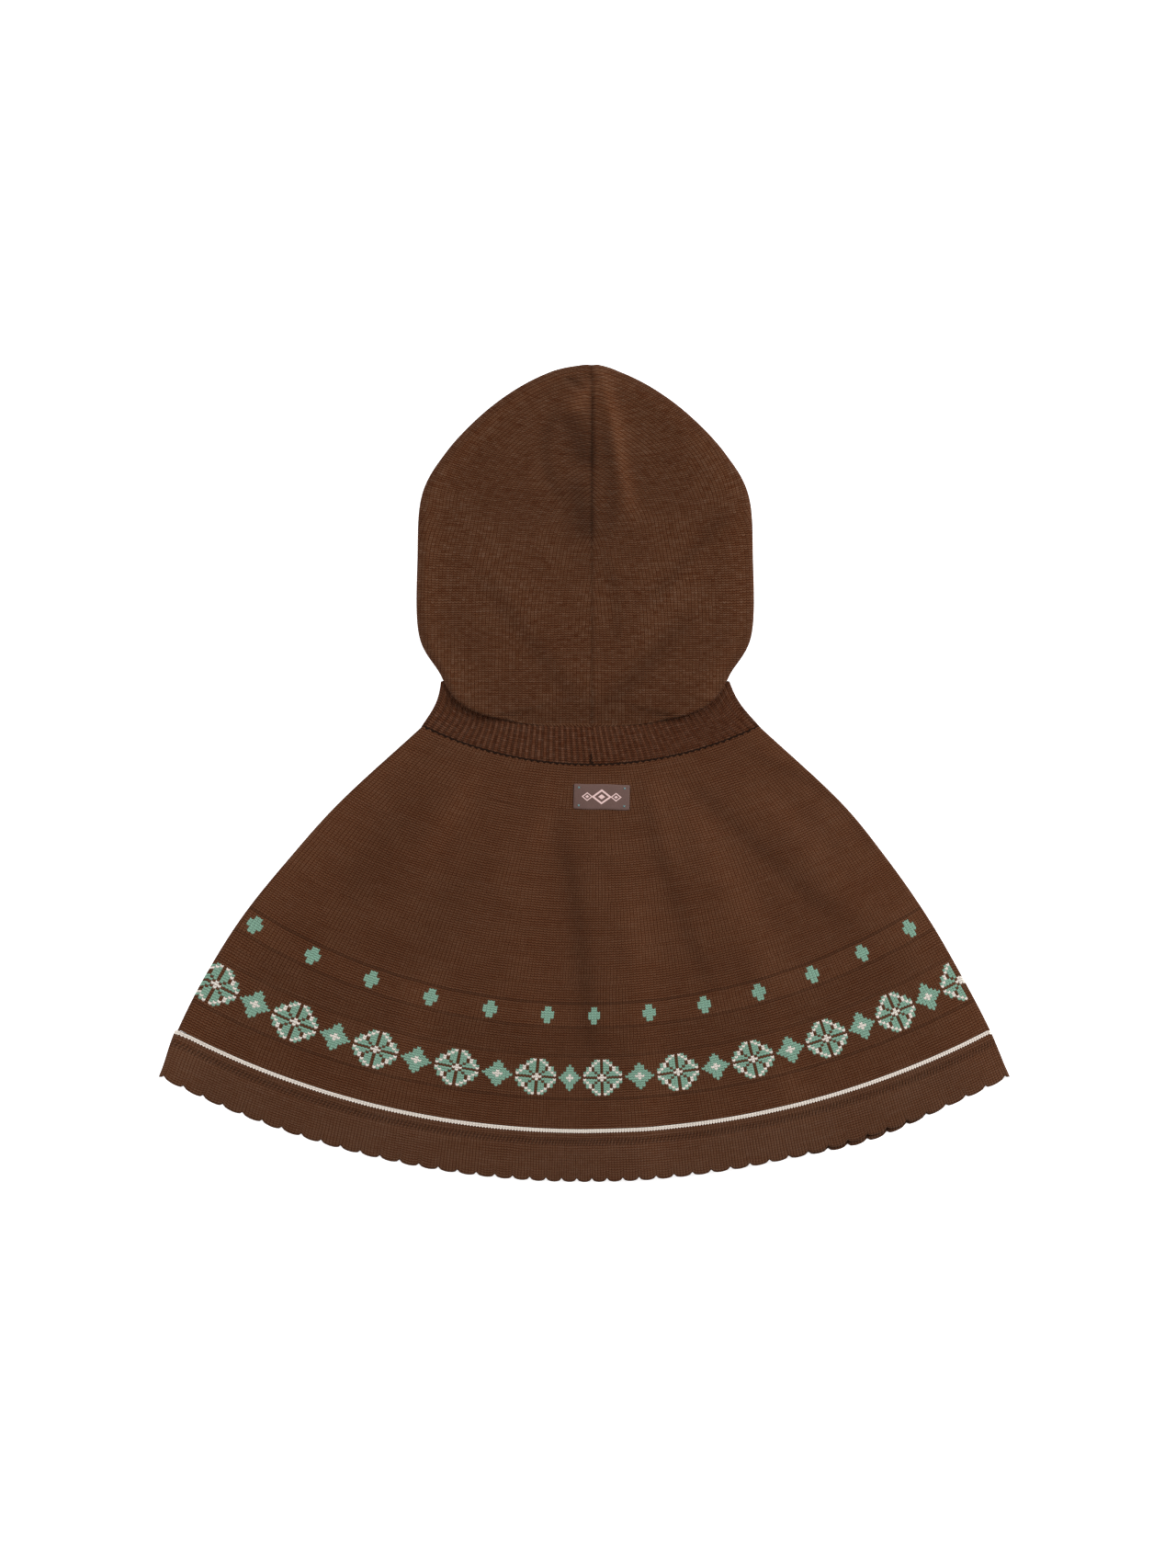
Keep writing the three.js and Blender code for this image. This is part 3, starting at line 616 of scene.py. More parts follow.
def make_neckband(material):
    steps = np.linspace(-1, 1, RIBS * 8 + 1)
    columns = round_columns(steps, np.linspace(-1, 1, RIBS * 4 + 1))
    low_ups = [0, 0.02, 0.05, 0.1, 0.18, 0.28, 0.38, 0.48]
    ups = np.array(low_ups + [0.58, 0.68, 0.76, 0.82, 0.86, 0.89, 0.92, 0.96, 1])

    def place_at(column, across, up, turn):
        front = turn / math.pi
        low_x, low_y = body_place(across, np.zeros(len(up)), FRONT_NECK_DIP * front)
        reach = across * BAND_REACH
        top_x = HOOD_MIDDLE_X + reach * HOOD_FOOT["half"]
        off = np.abs(reach)
        top_y = mix(back_band_top(off), front_neckline(off), front) - SEAM_GAP
        waist = BAND_WAIST * np.sin(math.pi * up) * across ** 3
        return mix(low_x, top_x, up) - waist, mix(low_y + SEAM_GAP, top_y, up)

    def rib(across):
        return 0.5 - 0.5 * np.cos(2 * math.pi * RIBS * (across + 1) / 2)

    def top_at(x, y, across, up):
        fade = smooth(0, 0.08, up) * (1 - smooth(0.88, 0.96, up))
        raised = RIB_RELIEF * (rib(across) - 0.35) * fade
        thin = mix(BAND_TOP_KNIT, FLUSH["lap_knit"], flush(np.abs(across)))
        knit = mix(BAND_KNIT, thin, smooth(0.84, 0.93, up)) + raised
        pulled = BAND_PULL["depth"] * bell(up, BAND_PULL["width"])
        return BAND_LIFT + knit - pulled, np.full(len(up), BAND_LIFT)

    courses = -ups * BAND_HEIGHT / RIB_COURSE
    return round_cloth("neckband_rib", columns, ups, courses, place_at, top_at, BAND_KNIT, BAND_KNIT,
                       material, spread=float)


# Hood


def read_station(station, column):
    """A column of the hood's stations, which the corner ends."""
    return read(HOOD_STATIONS, "number", np.minimum(station, CORNER), column)


def to_foot(station):
    """From 1 at the corner to 0 at the middle of the lower edge, for the stations past the corner."""
    return (FOOT - station) / (FOOT - CORNER)


def hood_edge(side, station):
    """One half's outline at its stations, seen from above."""
    seam_end = 1 - smooth(0, 1.2, station) + smooth(FOOT - 1, FOOT, station)
    lean = (side * (HOOD_SEAM_X - HOOD_MIDDLE_X) + SEAM_GAP / 2) * seam_end
    off = to_foot(station)
    on_side = station <= CORNER
    half = np.where(on_side, read_station(station, "half"), HOOD_FOOT["half"] * off)
    y = np.where(on_side, read_station(station, "y"), foot_line(np.clip(off, 0, 1)))
    y = y - TIP_NOTCH["depth"] * bell(station, TIP_NOTCH["width"])
    return np.stack([HOOD_MIDDLE_X + side * (half + lean), y], -1)


def hood_outward(side, station):
    step = 0.05
    after = hood_edge(side, np.minimum(station + step, FOOT))
    along = after - hood_edge(side, np.maximum(station - step, 0))
    outward = unit(np.stack([-side * along[..., 1], side * along[..., 0]], -1))
    tip = 1 - smooth(0, 0.8, station)[..., None]
    foot = smooth(FOOT - 1, FOOT, station)[..., None]
    outward = mix(outward, np.array([0.0, 1.0]), tip)
    return unit(mix(outward, np.array([0.0, -1.0]), foot))


def hood_turn(station):
    """How the cloth turns in at the outline: its height, bend, reach, wrap and tail at each station."""
    on_side = station <= CORNER
    corner = HOOD_STATIONS[CORNER]
    past = station - CORNER
    pouch = smooth(0, LIFT["turn_done"], past)
    turned_in = smooth(LIFT["turn_from"], LIFT["turn_done"], past)
    off = to_foot(station)
    blouse = smooth(0.38, 0.78, off)
    lifted = smooth(0, LIFT["done"], past) - turned_in
    wrap = np.where(on_side, math.pi, math.pi * blouse * (1 - lifted / 2))
    tail = np.where(on_side, 0, mix(LIFT["tail"], POUCH["tail"], turned_in) * blouse)
    drop = POUCH["bend"] * (1 - np.cos(wrap)) + tail * np.sin(wrap) + KNIT * np.maximum(0, np.cos(wrap))
    pouch_top = mix(BAND_LIFT + BAND_TOP_KNIT + POUCH["clear"] + drop, FLUSH["top"], flush(off))
    side_top = read_station(station, "top")
    side_reach = read_station(station, "reach")
    return dict(
        top=np.where(on_side, side_top, mix(corner["top"], pouch_top, pouch)),
        bend=np.where(on_side, side_top / 2, mix(corner["top"] / 2, POUCH["bend"], pouch)),
        reach=np.where(on_side, side_reach, mix(corner["reach"], POUCH["reach"], pouch)),
        wrap=wrap,
        tail=tail,
        flush=flush(off),
    )


def under_edge(side, station):
    """Where the under side ends: at the face opening, then at the front neckline."""
    opening = np.minimum(station, CORNER - 1)
    middle = mix(HOOD_SEAM_X, HOOD_MIDDLE_X, smooth(1, CORNER - 1, opening))
    off = np.maximum(read_station(opening, "under"), SEAM_GAP / 2)
    face = np.stack([middle + side * off, read_station(opening, "under_y")], -1)
    part = np.clip(station - CORNER + 1, 0, 1) ** 0.7
    neck = mix(FRONT_NECK["start"], FRONT_NECK["end"], part)
    neck_y = FRONT_NECK["y"] + FRONT_NECK["rise"] * neck ** FRONT_NECK["power"]
    front = np.stack([HOOD_MIDDLE_X + side * neck * HOOD_FOOT["half"], neck_y], -1)
    return np.where((station <= CORNER - 1)[..., None], face, front)


def hood_loose(x, y):
    """How far the hood's cloth stands above or below its plain form."""
    held = smooth(36, 60, y) * (1 - smooth(252, 266, y))
    return held * (ridges(HOOD_FOLDS + HOOD_CREASES, x, y) + unevenness(x, y))


def to_crown(y):
    """From 0 to 1 where the middle seam starts to roll in deeply."""
    return smooth(SEAM_ROLL["crown_from"], SEAM_ROLL["crown_to"], y)


def to_tip(y):
    """From 0 to 1 where the middle seam comes out again."""
    return smooth(SEAM_ROLL["tip_from"], SEAM_ROLL["tip_to"], y)


def hood_layers(side, station, depth):
    """The points of one half at a depth below its outside: rows are stations, columns run round it."""
    turn = {name: value[:, None] for name, value in hood_turn(station).items()}
    outward = hood_outward(side, station)[:, None]
    room = (EDGE_SPREAD * smooth(FOOT - 3, FOOT, station))[:, None]
    plain_tail = turn["tail"] * np.maximum(0, np.cos(turn["wrap"]))
    set_back = turn["reach"] * np.sin(np.minimum(turn["wrap"], math.pi / 2)) + plain_tail + room
    fold_start = hood_edge(side, station)[:, None] - outward * set_back[..., None]

    part = np.linspace(0, 1, HOOD_COLUMNS["top"])[None]
    past = (station - CORNER) / (FOOT - CORNER)
    low_y = mix(HOOD_STATIONS[CORNER]["seam_y"], HOOD_FOOT["seam_y"], past)
    seam_y = np.where(past <= 0, read_station(station, "seam_y"), low_y)
    seam = np.stack([np.full(len(station), HOOD_SEAM_X + side * SEAM_GAP / 2), seam_y], -1)[:, None]
    place = mix(seam, fold_start, part[..., None])
    length = np.linalg.norm(seam - fold_start, axis=-1)
    calm = np.minimum(turn["top"], HOOD_CALM)
    height = mix(HOOD_REST, calm, smooth(0.05, 1, part))
    to_edge = length * (1 - part)
    height = height + (turn["top"] - calm) * bell(to_edge, POUCH["settle"])
    x, y = place[..., 0], place[..., 1]
    loose = hood_loose(x, y)
    roll_depth = mix(SEAM_ROLL["depth"], SEAM_ROLL["crown_depth"], to_crown(y))
    roll = roll_depth * bell(x - HOOD_SEAM_X, SEAM_ROLL["width"]) * (1 - to_tip(y))
    height = height + loose * (1 - smooth(0.75, 1, part)) - roll - depth
    height = height + depth * FLUSH["thin"] * turn["flush"] * bell(to_edge, FLUSH["settle"])
    top = np.concatenate([place, height[..., None]], -1)

    part = np.linspace(0, 1, HOOD_COLUMNS["fold"] + 2)[None, 1:-1]
    angle = turn["wrap"] * part
    out = (turn["reach"] - depth) * np.sin(angle) + room * part / 2
    rim = turn["flush"] * (FLUSH["sink"] * (part / 2) ** 2 - depth * FLUSH["thin"])
    sink = depth + (turn["bend"] - depth) * (1 - np.cos(angle)) + rim
    fold = np.concatenate([fold_start + outward * out[..., None], (turn["top"] - sink)[..., None]], -1)

    part = np.linspace(0, 1, HOOD_COLUMNS["under"])[None] ** 1.6
    wrap = turn["wrap"]
    out = (turn["reach"] - depth) * np.sin(wrap) + room * (1 + part) / 2
    turned = fold_start + outward * out[..., None]
    rim = turn["flush"] * (FLUSH["sink"] * ((1 + part) / 2) ** 2 - depth * FLUSH["thin"])
    sink = depth + (turn["bend"] - depth) * (1 - np.cos(wrap)) + rim
    tail_place = turned + outward * (part * turn["tail"] * np.cos(wrap))[..., None]
    flap_place = mix(turned, under_edge(side, station)[:, None], part[..., None])
    flat = np.where((station <= CORNER)[:, None, None], flap_place, tail_place)
    height = turn["top"] - sink - part * turn["tail"] * np.sin(wrap)
    under = np.concatenate([flat, np.maximum(height, 0)[..., None]], -1)
    return np.concatenate([top, fold, under], 1)


def hood_painted_shading(points):
    """Painted shade and light at the outside's points: shade in the creases' troughs, along the sewn middle
    and at the foot, light on the ridges and on the side that catches the light.
    """
    x, y = points[..., 0], points[..., 1]
    held = smooth(30, 44, y) * (1 - smooth(262, 267, y))
    on_crown = smooth(SEAM_PAINTED_SHADE["crown_from"], SEAM_PAINTED_SHADE["crown_to"], y)
    # Painted shade along the sewn middle
    sewn = bell(x - HOOD_SEAM_X, SEAM_PAINTED_SHADE["width"]) * mix(SEAM_PAINTED_SHADE["low"], SEAM_PAINTED_SHADE["crown"], on_crown)
    painted_shading = held * (CREASE_PAINTED_SHADING * ridges(HOOD_CREASES, x, y) + FOLD_PAINTED_LIGHT * ridges(HOOD_FOLDS, x, y)) + sewn
    top = HOOD_COLUMNS["top"]
    top_y = y[:, :top]
    side = smooth(0.82, 1, np.linspace(0, 1, top)) * smooth(20, 70, top_y)
    painted_shading[:, :top] += SIDE_PAINTED_LIGHT * side + FOOT_PAINTED_SHADE * (1 - smooth(28, 66, top_y))
    painted_shading[:, top + HOOD_COLUMNS["fold"]:] = 0
    return painted_shading


def hood_stitches(side, points):
    """Wales run side by side with the outline, and courses turn from level to square with it."""
    station = np.linspace(0, HOOD_FLOW["station"], 260)
    line = hood_edge(side, station)
    down = np.linspace(line[-1, 1], HOOD_FLOW["low_y"], 41)[1:]
    on_down = np.stack([np.full(len(down), line[-1, 0]), down], -1)
    line = np.concatenate([line, on_down])
    steps = np.linalg.norm(np.diff(line, axis=0), axis=1)
    along = np.concatenate([[0], np.cumsum(steps)])
    level = line[-1, 1] + along[-1] - along  # its own height where the outline is straight
    flat = points.reshape(-1, 3)
    gap = np.linalg.norm(flat[:, None, :2] - line[None], axis=2)
    away = gap.min(1)
    share = np.exp(-(gap - away[:, None]) / HOOD_FLOW["near"])
    pull = np.exp(-away / HOOD_FLOW["reach"])
    course = mix(flat[:, 1], (share * level).sum(1) / share.sum(1), pull)
    crown = gap[:, line[:, 1] > HOOD_FLOW["crown_y"]].min(1)
    widest = max(row["half"] for row in HOOD_STATIONS)
    from_side = widest - side * (flat[:, 0] - HOOD_MIDDLE_X)
    wale = -HOOD_BLEND * np.log(np.exp(-crown / HOOD_BLEND) + np.exp(-from_side / HOOD_BLEND))
    wale, course = wale.reshape(points.shape[:2]), course.reshape(points.shape[:2])
    # The column on the outline; beyond it the cloth lies underneath
    crest = HOOD_COLUMNS["top"] + HOOD_COLUMNS["fold"] // 2 + 1
    beyond = np.linalg.norm(np.diff(points[:, crest:], axis=1), axis=2).cumsum(1)
    wale[:, crest + 1:] = wale[:, crest, None] - beyond
    course[:, crest + 1:] = course[:, crest, None]
    return np.stack([side * wale / HOOD_WALE, -course / HOOD_COURSE], -1)


def make_hood_half(side, material):
    station = np.concatenate([
        np.linspace(0, CORNER - 1, 113),
        np.linspace(CORNER - 1, CORNER, 25)[1:],
        np.linspace(CORNER, CORNER + LIFT["done"], 5)[1:],
        np.linspace(CORNER + LIFT["done"], CORNER + 1, 15)[1:],
        np.linspace(CORNER + 1, FOOT, 41)[1:],
    ])
    outer = hood_layers(side, station, 0.0)
    inner = hood_layers(side, station, KNIT)
    name = "hood_left_knit" if side < 0 else "hood_right_knit"
    return build_wall(name, outer, inner, hood_stitches(side, outer), material, painted_shading=hood_painted_shading(outer))


# Label and sewing


def body_surface(x, y):
    return KNIT + LAYER_GAP + KNIT + body_lift(x, y, np.zeros_like(x))


def label_place(u, v):
    """A point of the label's under side from its own coordinates."""
    tilt = math.radians(LABEL["tilt"])
    x = LABEL["x"] + u * math.cos(tilt) - v * math.sin(tilt)
    y = LABEL["y"] + u * math.sin(tilt) + v * math.cos(tilt)
    return np.stack([x, y, body_surface(x, y) + LABEL["lift"]], -1)


def make_label(material):
    across = np.linspace(-1, 1, 57)
    up = np.linspace(-1, 1, 31)
    u, v = np.meshgrid(across, up)
    half = np.array([LABEL["width"], LABEL["height"]]) / 2
    corner = LABEL_EDGE["corner"]
    edge_u = half[0] - np.abs(u * half[0])
    edge_v = half[1] - np.abs(v * half[1])
    edge = np.minimum(edge_u, edge_v)
    pull_u = corner * LABEL_EDGE["pull"] * np.clip(1 - edge_v / corner, 0, 1) ** 2
    pull_v = corner * LABEL_EDGE["pull"] * np.clip(1 - edge_u / corner, 0, 1) ** 2
    wave = 0.12 * np.sin(u * 5 + 1) * np.abs(v) + 0.08 * np.sin(v * 4) * np.abs(u)
    low = label_place(u * (half[0] - pull_u) + 0.1 * wave, v * (half[1] - pull_v) + wave)
    near = np.clip(edge / LABEL_EDGE["width"], LABEL_EDGE["thin"], 1)
    thick = LABEL["thick"] * np.sqrt(1 - (1 - near) ** 2)
    sag = LABEL_EDGE["sag"] * (1 - np.clip(edge / LABEL_EDGE["sag_width"], 0, 1)) ** 2
    outer = low.copy()
    outer[..., 2] += thick - sag
    low[..., 2] -= sag
    return build_wall("label_patch", outer, low, np.stack([u * half[0], v * half[1]], -1), material)


def tube(path, radius, sides=8, closed=False):
    """Points and quads of a thread along a path; its ends, if it has any, are small points."""
    count = len(path)
    if closed:
        along = unit(np.roll(path, -1, 0) - np.roll(path, 1, 0))
    else:
        along = unit(np.gradient(path, axis=0))
    up = np.array([0.0, 0.0, 1.0])
    across = unit(np.cross(along, up) + 1e-9)
    rise = np.cross(across, along)
    angle = np.linspace(0, 2 * math.pi, sides, endpoint=False)
    ring = across[:, None] * np.cos(angle)[None, :, None] + rise[:, None] * np.sin(angle)[None, :, None]
    places = (path[:, None] + ring * np.asarray(radius)[:, None, None]).reshape(-1, 3)
    quads = []
    for k in range(count if closed else count - 1):
        for s in range(sides):
            n = (k + 1) % count
            t = (s + 1) % sides
            quads.append([k * sides + s, k * sides + t, n * sides + t, n * sides + s])
    if not closed:
        half = sides // 2
        for start in (0, (count - 1) * sides):
            for s in range(half - 1):
                corner = [start + s, start + s + 1, start + sides - 2 - s, start + sides - 1 - s]
                quads.append(corner if start else corner[::-1])
    return places, np.array(quads)


def joined(name, parts, material):
    places, quads, start = [], [], 0
    for points, faces in parts:
        places.append(points)
        quads.append(faces + start)
        start += len(points)
    return finish_mesh(name, np.concatenate(places), np.concatenate(quads), material)


def make_tacks(material):
    parts = []
    for side_u in (-1, 1):
        for side_v in (-1, 1):
            middle_u = side_u * (LABEL["width"] / 2 - TACK["inset_x"])
            middle_v = side_v * (LABEL["height"] / 2 - TACK["inset_y"])
            for slant in (-1, 1):
                way = np.linspace(-1, 1, 9)
                reach = TACK["reach"] * way
                path = label_place(middle_u + reach, middle_v + slant * reach)
                path[:, 2] += LABEL["thick"] + TACK["bow"] * (1 - way ** 2) + TACK["cross"] * (slant + 1)
                parts.append(tube(path, TACK["radius"] * (1 - 0.5 * way ** 4)))
    return joined("label_tacks", parts, material)


def make_hood_seam(material):
    """The two halves are sewn together along the middle, from the tip to the neckband."""
    y = np.linspace(HOOD_FOOT["seam_y"] - HOOD_SEAM["lap"], HOOD_STATIONS[0]["y"] - HOOD_SEAM["end"], 260)
    x = np.full(len(y), HOOD_SEAM_X) + 0.12 * np.sin(y * 2.1)
    roll = mix(SEAM_ROLL["depth"], SEAM_ROLL["crown_depth"], to_crown(y) * (1 - to_tip(y)))
    z = HOOD_REST + hood_loose(x, y) - roll - HOOD_SEAM["sink"] + 0.05 * np.sin(y * 4.2)
    radius = np.full(len(y), HOOD_SEAM["radius"])
    return joined("hood_seam", [tube(np.stack([x, y, z], -1), radius)], material)


def make_neck_seam(material):
    """The linking stitches that join the body to the neckband, all round the neck."""
    across = np.linspace(-1, 1, RIBS * NECK_SEAM_STEPS + 1)
    inset = 1 - NECK_SEAM["inset"] / BODY_ROWS[0]["half"]
    way = np.zeros(len(across))
    back_x, back_y = body_place(across * inset, way)
    front_x, front_y = body_place(across[::-1] * inset, way, FRONT_NECK_DIP)
    count = np.arange(len(across))
    jog = NECK_SEAM["jog"] * np.abs(np.cos(count * math.pi / NECK_SEAM_STEPS)) - NECK_SEAM["down"]
    back_z = NECK_SEAM["back"] + 0.12 * np.sin(count * 0.37)
    back = np.stack([back_x, back_y + jog, back_z], -1)
    front = np.stack([front_x, front_y + jog, np.full(len(across), NECK_SEAM["front"])], -1)
    turn = np.linspace(0, math.pi, 7)[1:-1]
    fold_z = mix(back_z[0], NECK_SEAM["front"], (1 - np.cos(turn)) / 2)
    fold_x = NECK_SEAM["turn"] * np.sin(turn)
    right = np.stack([back_x[-1] + fold_x, np.full(5, back_y[-1]), fold_z], -1)
    left = np.stack([back_x[0] - fold_x, np.full(5, back_y[0]), fold_z[::-1]], -1)
    path = np.concatenate([back, right, front, left])
    beat = np.abs(np.sin(np.arange(len(path)) * math.pi / NECK_SEAM_STEPS))
    way = np.linspace(0, 1, 60)
    knot_x = HOOD_SEAM_X + KNOT["sway"] * np.sin(way * 17) * (1 - way)
    knot_y = KNOT["y"] + KNOT["length"] * way + KNOT["sway"] / 2 * np.cos(way * 17)
    knot_z = BAND_LIFT + BAND_KNIT + KNOT["lift"] + 0.2 * np.sin(way * 23)
    parts = [
        tube(path, NECK_SEAM["radius"] + NECK_SEAM["swell"] * beat, closed=True),
        tube(np.stack([knot_x, knot_y, knot_z], -1), KNOT["radius"] * (1 - 0.6 * way)),
    ]
    return joined("neck_seam", parts, material)


# Materials


def srgb(red, green, blue, alpha=1.0):
    """A colour from its screen values of 0 to 255."""
    linear = [((c / 255 + 0.055) / 1.055) ** 2.4 if c > 10 else c / 255 / 12.92 for c in (red, green, blue)]
    return (*linear, alpha)


def dimmed(colour, share):
    return tuple(c * share for c in colour[:3]) + (1.0,)


# How light the yarn is: in all, with painted shade between the stitches, and uneven from stitch to stitch,
# row to row and place to place
YARN = dict(level=0.72, gap=0.12, gap_power=0.7, mottle=0.44, streak=0.34, cloud=0.22)
YARN_POWERS = (0.68, 1.25, 1.9)  # how fast red, green and blue fall as it gets darker
# The colour of the painted shade in the lowered courses, the rib valleys and the slots of the hem's groove
PAINTED_SHADE_COLOUR = srgb(24, 9, 3)
BODY_YARN = srgb(80, 53, 37)
HOOD_YARN = srgb(78, 52, 36)
HEM_YARN = srgb(81, 57, 43)
RIB_YARN = srgb(80, 52, 37)
HOOD_MOTTLE = 1.3
RIB_MOTTLE = 1.5
# The neck's linking stitches, partly real yarn and partly painted shade under the ribs, so nearly black
SEAM_THREAD_AND_SHADE = srgb(28, 14, 7)
HOOD_THREAD = srgb(30, 16, 9)
TACK_THREAD = srgb(112, 150, 152)
STRIPE_PAINTED_SHADE = srgb(158, 145, 134)  # painted shade between the white stripe's stitches
LABEL_DARK = srgb(78, 59, 54)
LABEL_PINK = srgb(190, 162, 158)
PAPER = srgb(250, 250, 250)
PAPER_GLOW = 0.75

# Roughness and sheen
KNIT_SHINE = (0.92, 0.01)
LABEL_SHINE = (0.55, 0.05)
THREAD_SHINE = (0.85, 0.0)
PAPER_SHINE = (0.95, 0.0)

# Stitches: how far a leg rises over half a wale, how far the rows wander and the scale of the patches where
# the legs stand up; then how round a stitch is and how low beside its legs, each with its change there
STITCH = dict(rise=0.68, drift=0.45, patch=26.0, round=1.15, round_fall=0.75, side=0.62, side_rise=0.38)


def sum_of(operation):
    """A method that adds one Math node, from the socket it is called on and any other value."""

    def add(self, *others):
        inputs = {0: self, **dict(enumerate(others, 1))}
        return self.finish.node("ShaderNodeMath", {"operation": operation}, inputs)

    return add


class Socket:
    """A socket of a material's nodes. Sums written on it add Math nodes."""

    def __init__(self, finish, socket):
        self.finish = finish
        self.socket = socket

    def __rsub__(self, other):
        return self.finish.node("ShaderNodeMath", {"operation": "SUBTRACT"}, {0: other, 1: self})

    __add__ = __radd__ = sum_of("ADD")
    __mul__ = __rmul__ = sum_of("MULTIPLY")
    __sub__ = sum_of("SUBTRACT")
    __truediv__ = sum_of("DIVIDE")
    __pow__ = sum_of("POWER")
    __gt__ = sum_of("GREATER_THAN")
    __lt__ = sum_of("LESS_THAN")
    __abs__ = sum_of("ABSOLUTE")
    floor = sum_of("FLOOR")
    part = sum_of("FRACT")
    larger = sum_of("MAXIMUM")
    smaller = sum_of("MINIMUM")


class Finish:
    """A cloth material and the nodes in it."""

    def __init__(self, name, roughness, sheen):
        self.material = bpy.data.materials.new(name)
        self.material.use_nodes = True
        self.tree = self.material.node_tree
        self.shader = self.tree.nodes["Principled BSDF"]
        self.shader.inputs["Roughness"].default_value = roughness
        self.shader.inputs["Sheen Weight"].default_value = sheen
        self.shader.inputs["Sheen Roughness"].default_value = 0.5
        self.shader.inputs["Specular IOR Level"].default_value = 0.06

    def node(self, kind, settings, inputs, output=0):
        """Any node: its settings first, then the values or links of its sockets."""
        node = self.tree.nodes.new(kind)
        for name, value in settings.items():
            setattr(node, name, value)
        for slot, value in inputs.items():
            if isinstance(value, Socket):
                self.tree.links.new(value.socket, node.inputs[slot])
            else:
                node.inputs[slot].default_value = value
        return Socket(self, node.outputs[output])

    def stitches(self):
        """The piece's own map, as wales across and courses along."""
        uv = self.node("ShaderNodeUVMap", {"uv_map": "Knit"}, {})
        wales = self.node("ShaderNodeSeparateXYZ", {}, {0: uv}, 0)
        return wales, Socket(self, wales.socket.node.outputs[1])

    def noise(self, scale, detail=2.0, at=None):
        place = at or self.node("ShaderNodeTexCoord", {}, {}, "Object")
        inputs = {"Vector": place, "Scale": scale, "Detail": detail, "Roughness": 0.6}
        return self.node("ShaderNodeTexNoise", {}, inputs)

    def blend(self, part, low, high):
        """A colour between two others."""
        return self.node("ShaderNodeMix", {"data_type": "RGBA"}, {0: part, 6: low, 7: high}, 2)

    def times(self, one, other):
        """A colour dimmed by another."""
        settings = {"data_type": "RGBA", "blend_type": "MULTIPLY"}
        return self.node("ShaderNodeMix", settings, {0: 1.0, 6: one, 7: other}, 2)

    def vector(self, x, y, z=0.0):
        return self.node("ShaderNodeCombineXYZ", {}, {0: x, 1: y, 2: z})

    def close(self, colour, height=None, distance=0.0005, strength=1.0):
        """The material, with its colour and its relief linked."""
        self.tree.links.new(colour.socket, self.shader.inputs["Base Color"])
        if height is not None:
            inputs = {"Strength": strength, "Distance": distance, "Height": height}
            bump = self.node("ShaderNodeBump", {}, inputs)
            self.tree.links.new(bump.socket, self.shader.inputs["Normal"])
        return self.material


def soft_step(low, high, value):
    """A shader's smooth step of a socket between two numbers."""
    settings = {"interpolation_type": "SMOOTHSTEP"}
    return value.finish.node("ShaderNodeMapRange", settings, {0: value, 1: low, 2: high, 3: 0.0, 4: 1.0})


def stitch_relief(wales, courses):
    """The height of V-shaped stitches, and the whole numbers of each stitch's wale and course."""
    finish = wales.finish
    place = finish.vector(wales * 0.13, courses * 0.1)
    wales = wales + (finish.noise(1.0, 1.0, place) - 0.5) * STITCH["drift"]
    place = finish.vector(wales * 0.1, courses * 0.13, 7.0)
    courses = courses + (finish.noise(1.3, 2.0, place) - 0.5) * (STITCH["drift"] * 2)
    patch = finish.noise(STITCH["patch"], 2.0)
    off = abs(wales.part() - 0.5)
    lifted = courses + off * STITCH["rise"]
    row = lifted.part()
    rope = row * (1 - row) * 4
    leg = (1 - (off * 2) ** 4) * (0.6 + 0.4 * (off * 8).smaller(1))
    upright = soft_step(0.4, 0.6, patch)
    height = rope ** (STITCH["round"] - upright * STITCH["round_fall"])
    height = height * (1 - (1 - leg) * (STITCH["side"] + upright * STITCH["side_rise"]))
    return height, wales.floor(), lifted.floor()


def yarn_colour(finish, height, wale, course, light, band_painted_shading=1.0, mottle=YARN["mottle"]):
    """Brown yarn, darker and redder between the stitches as painted shade, uneven from stitch to stitch and
    row to row, and with the painted shade and light of its piece and bands.
    """
    stitch = finish.noise(0.9, 1.0, finish.vector(wale * 0.53, course * 0.71))
    streak = finish.noise(0.35, 2.0, finish.vector(wale * 0.12, course * 1.1, 4.0))
    cloud = finish.noise(9.0, 3.0)
    # The painted shade and painted light that the piece's attribute holds at each place
    painted_shading_gain = finish.node("ShaderNodeAttribute", {"attribute_name": "PaintedShading"}, {}, "Fac") + 1
    painted_stitch_shade = height ** YARN["gap_power"] * (1 - YARN["gap"]) + YARN["gap"]
    level = YARN["level"] - mottle / 2 + stitch * mottle + streak * YARN["streak"] + cloud * YARN["cloud"]
    level = level * painted_stitch_shade
    parts = {slot: level ** power * painted_shading_gain * band_painted_shading for slot, power in enumerate(YARN_POWERS)}
    shade = finish.node("ShaderNodeCombineColor", {}, parts)
    return finish.times(light, shade)


def tier_wales(along, courses):
    """Wales across the back at a course, stepping up at each row of increases."""
    count = WALE_TIERS[0][1]
    for (way, wales), (_, before) in zip(WALE_TIERS[1:], WALE_TIERS):
        count = (courses > way * BODY_LENGTH / COURSE) * (wales - before) + count
    return along * count * 0.5


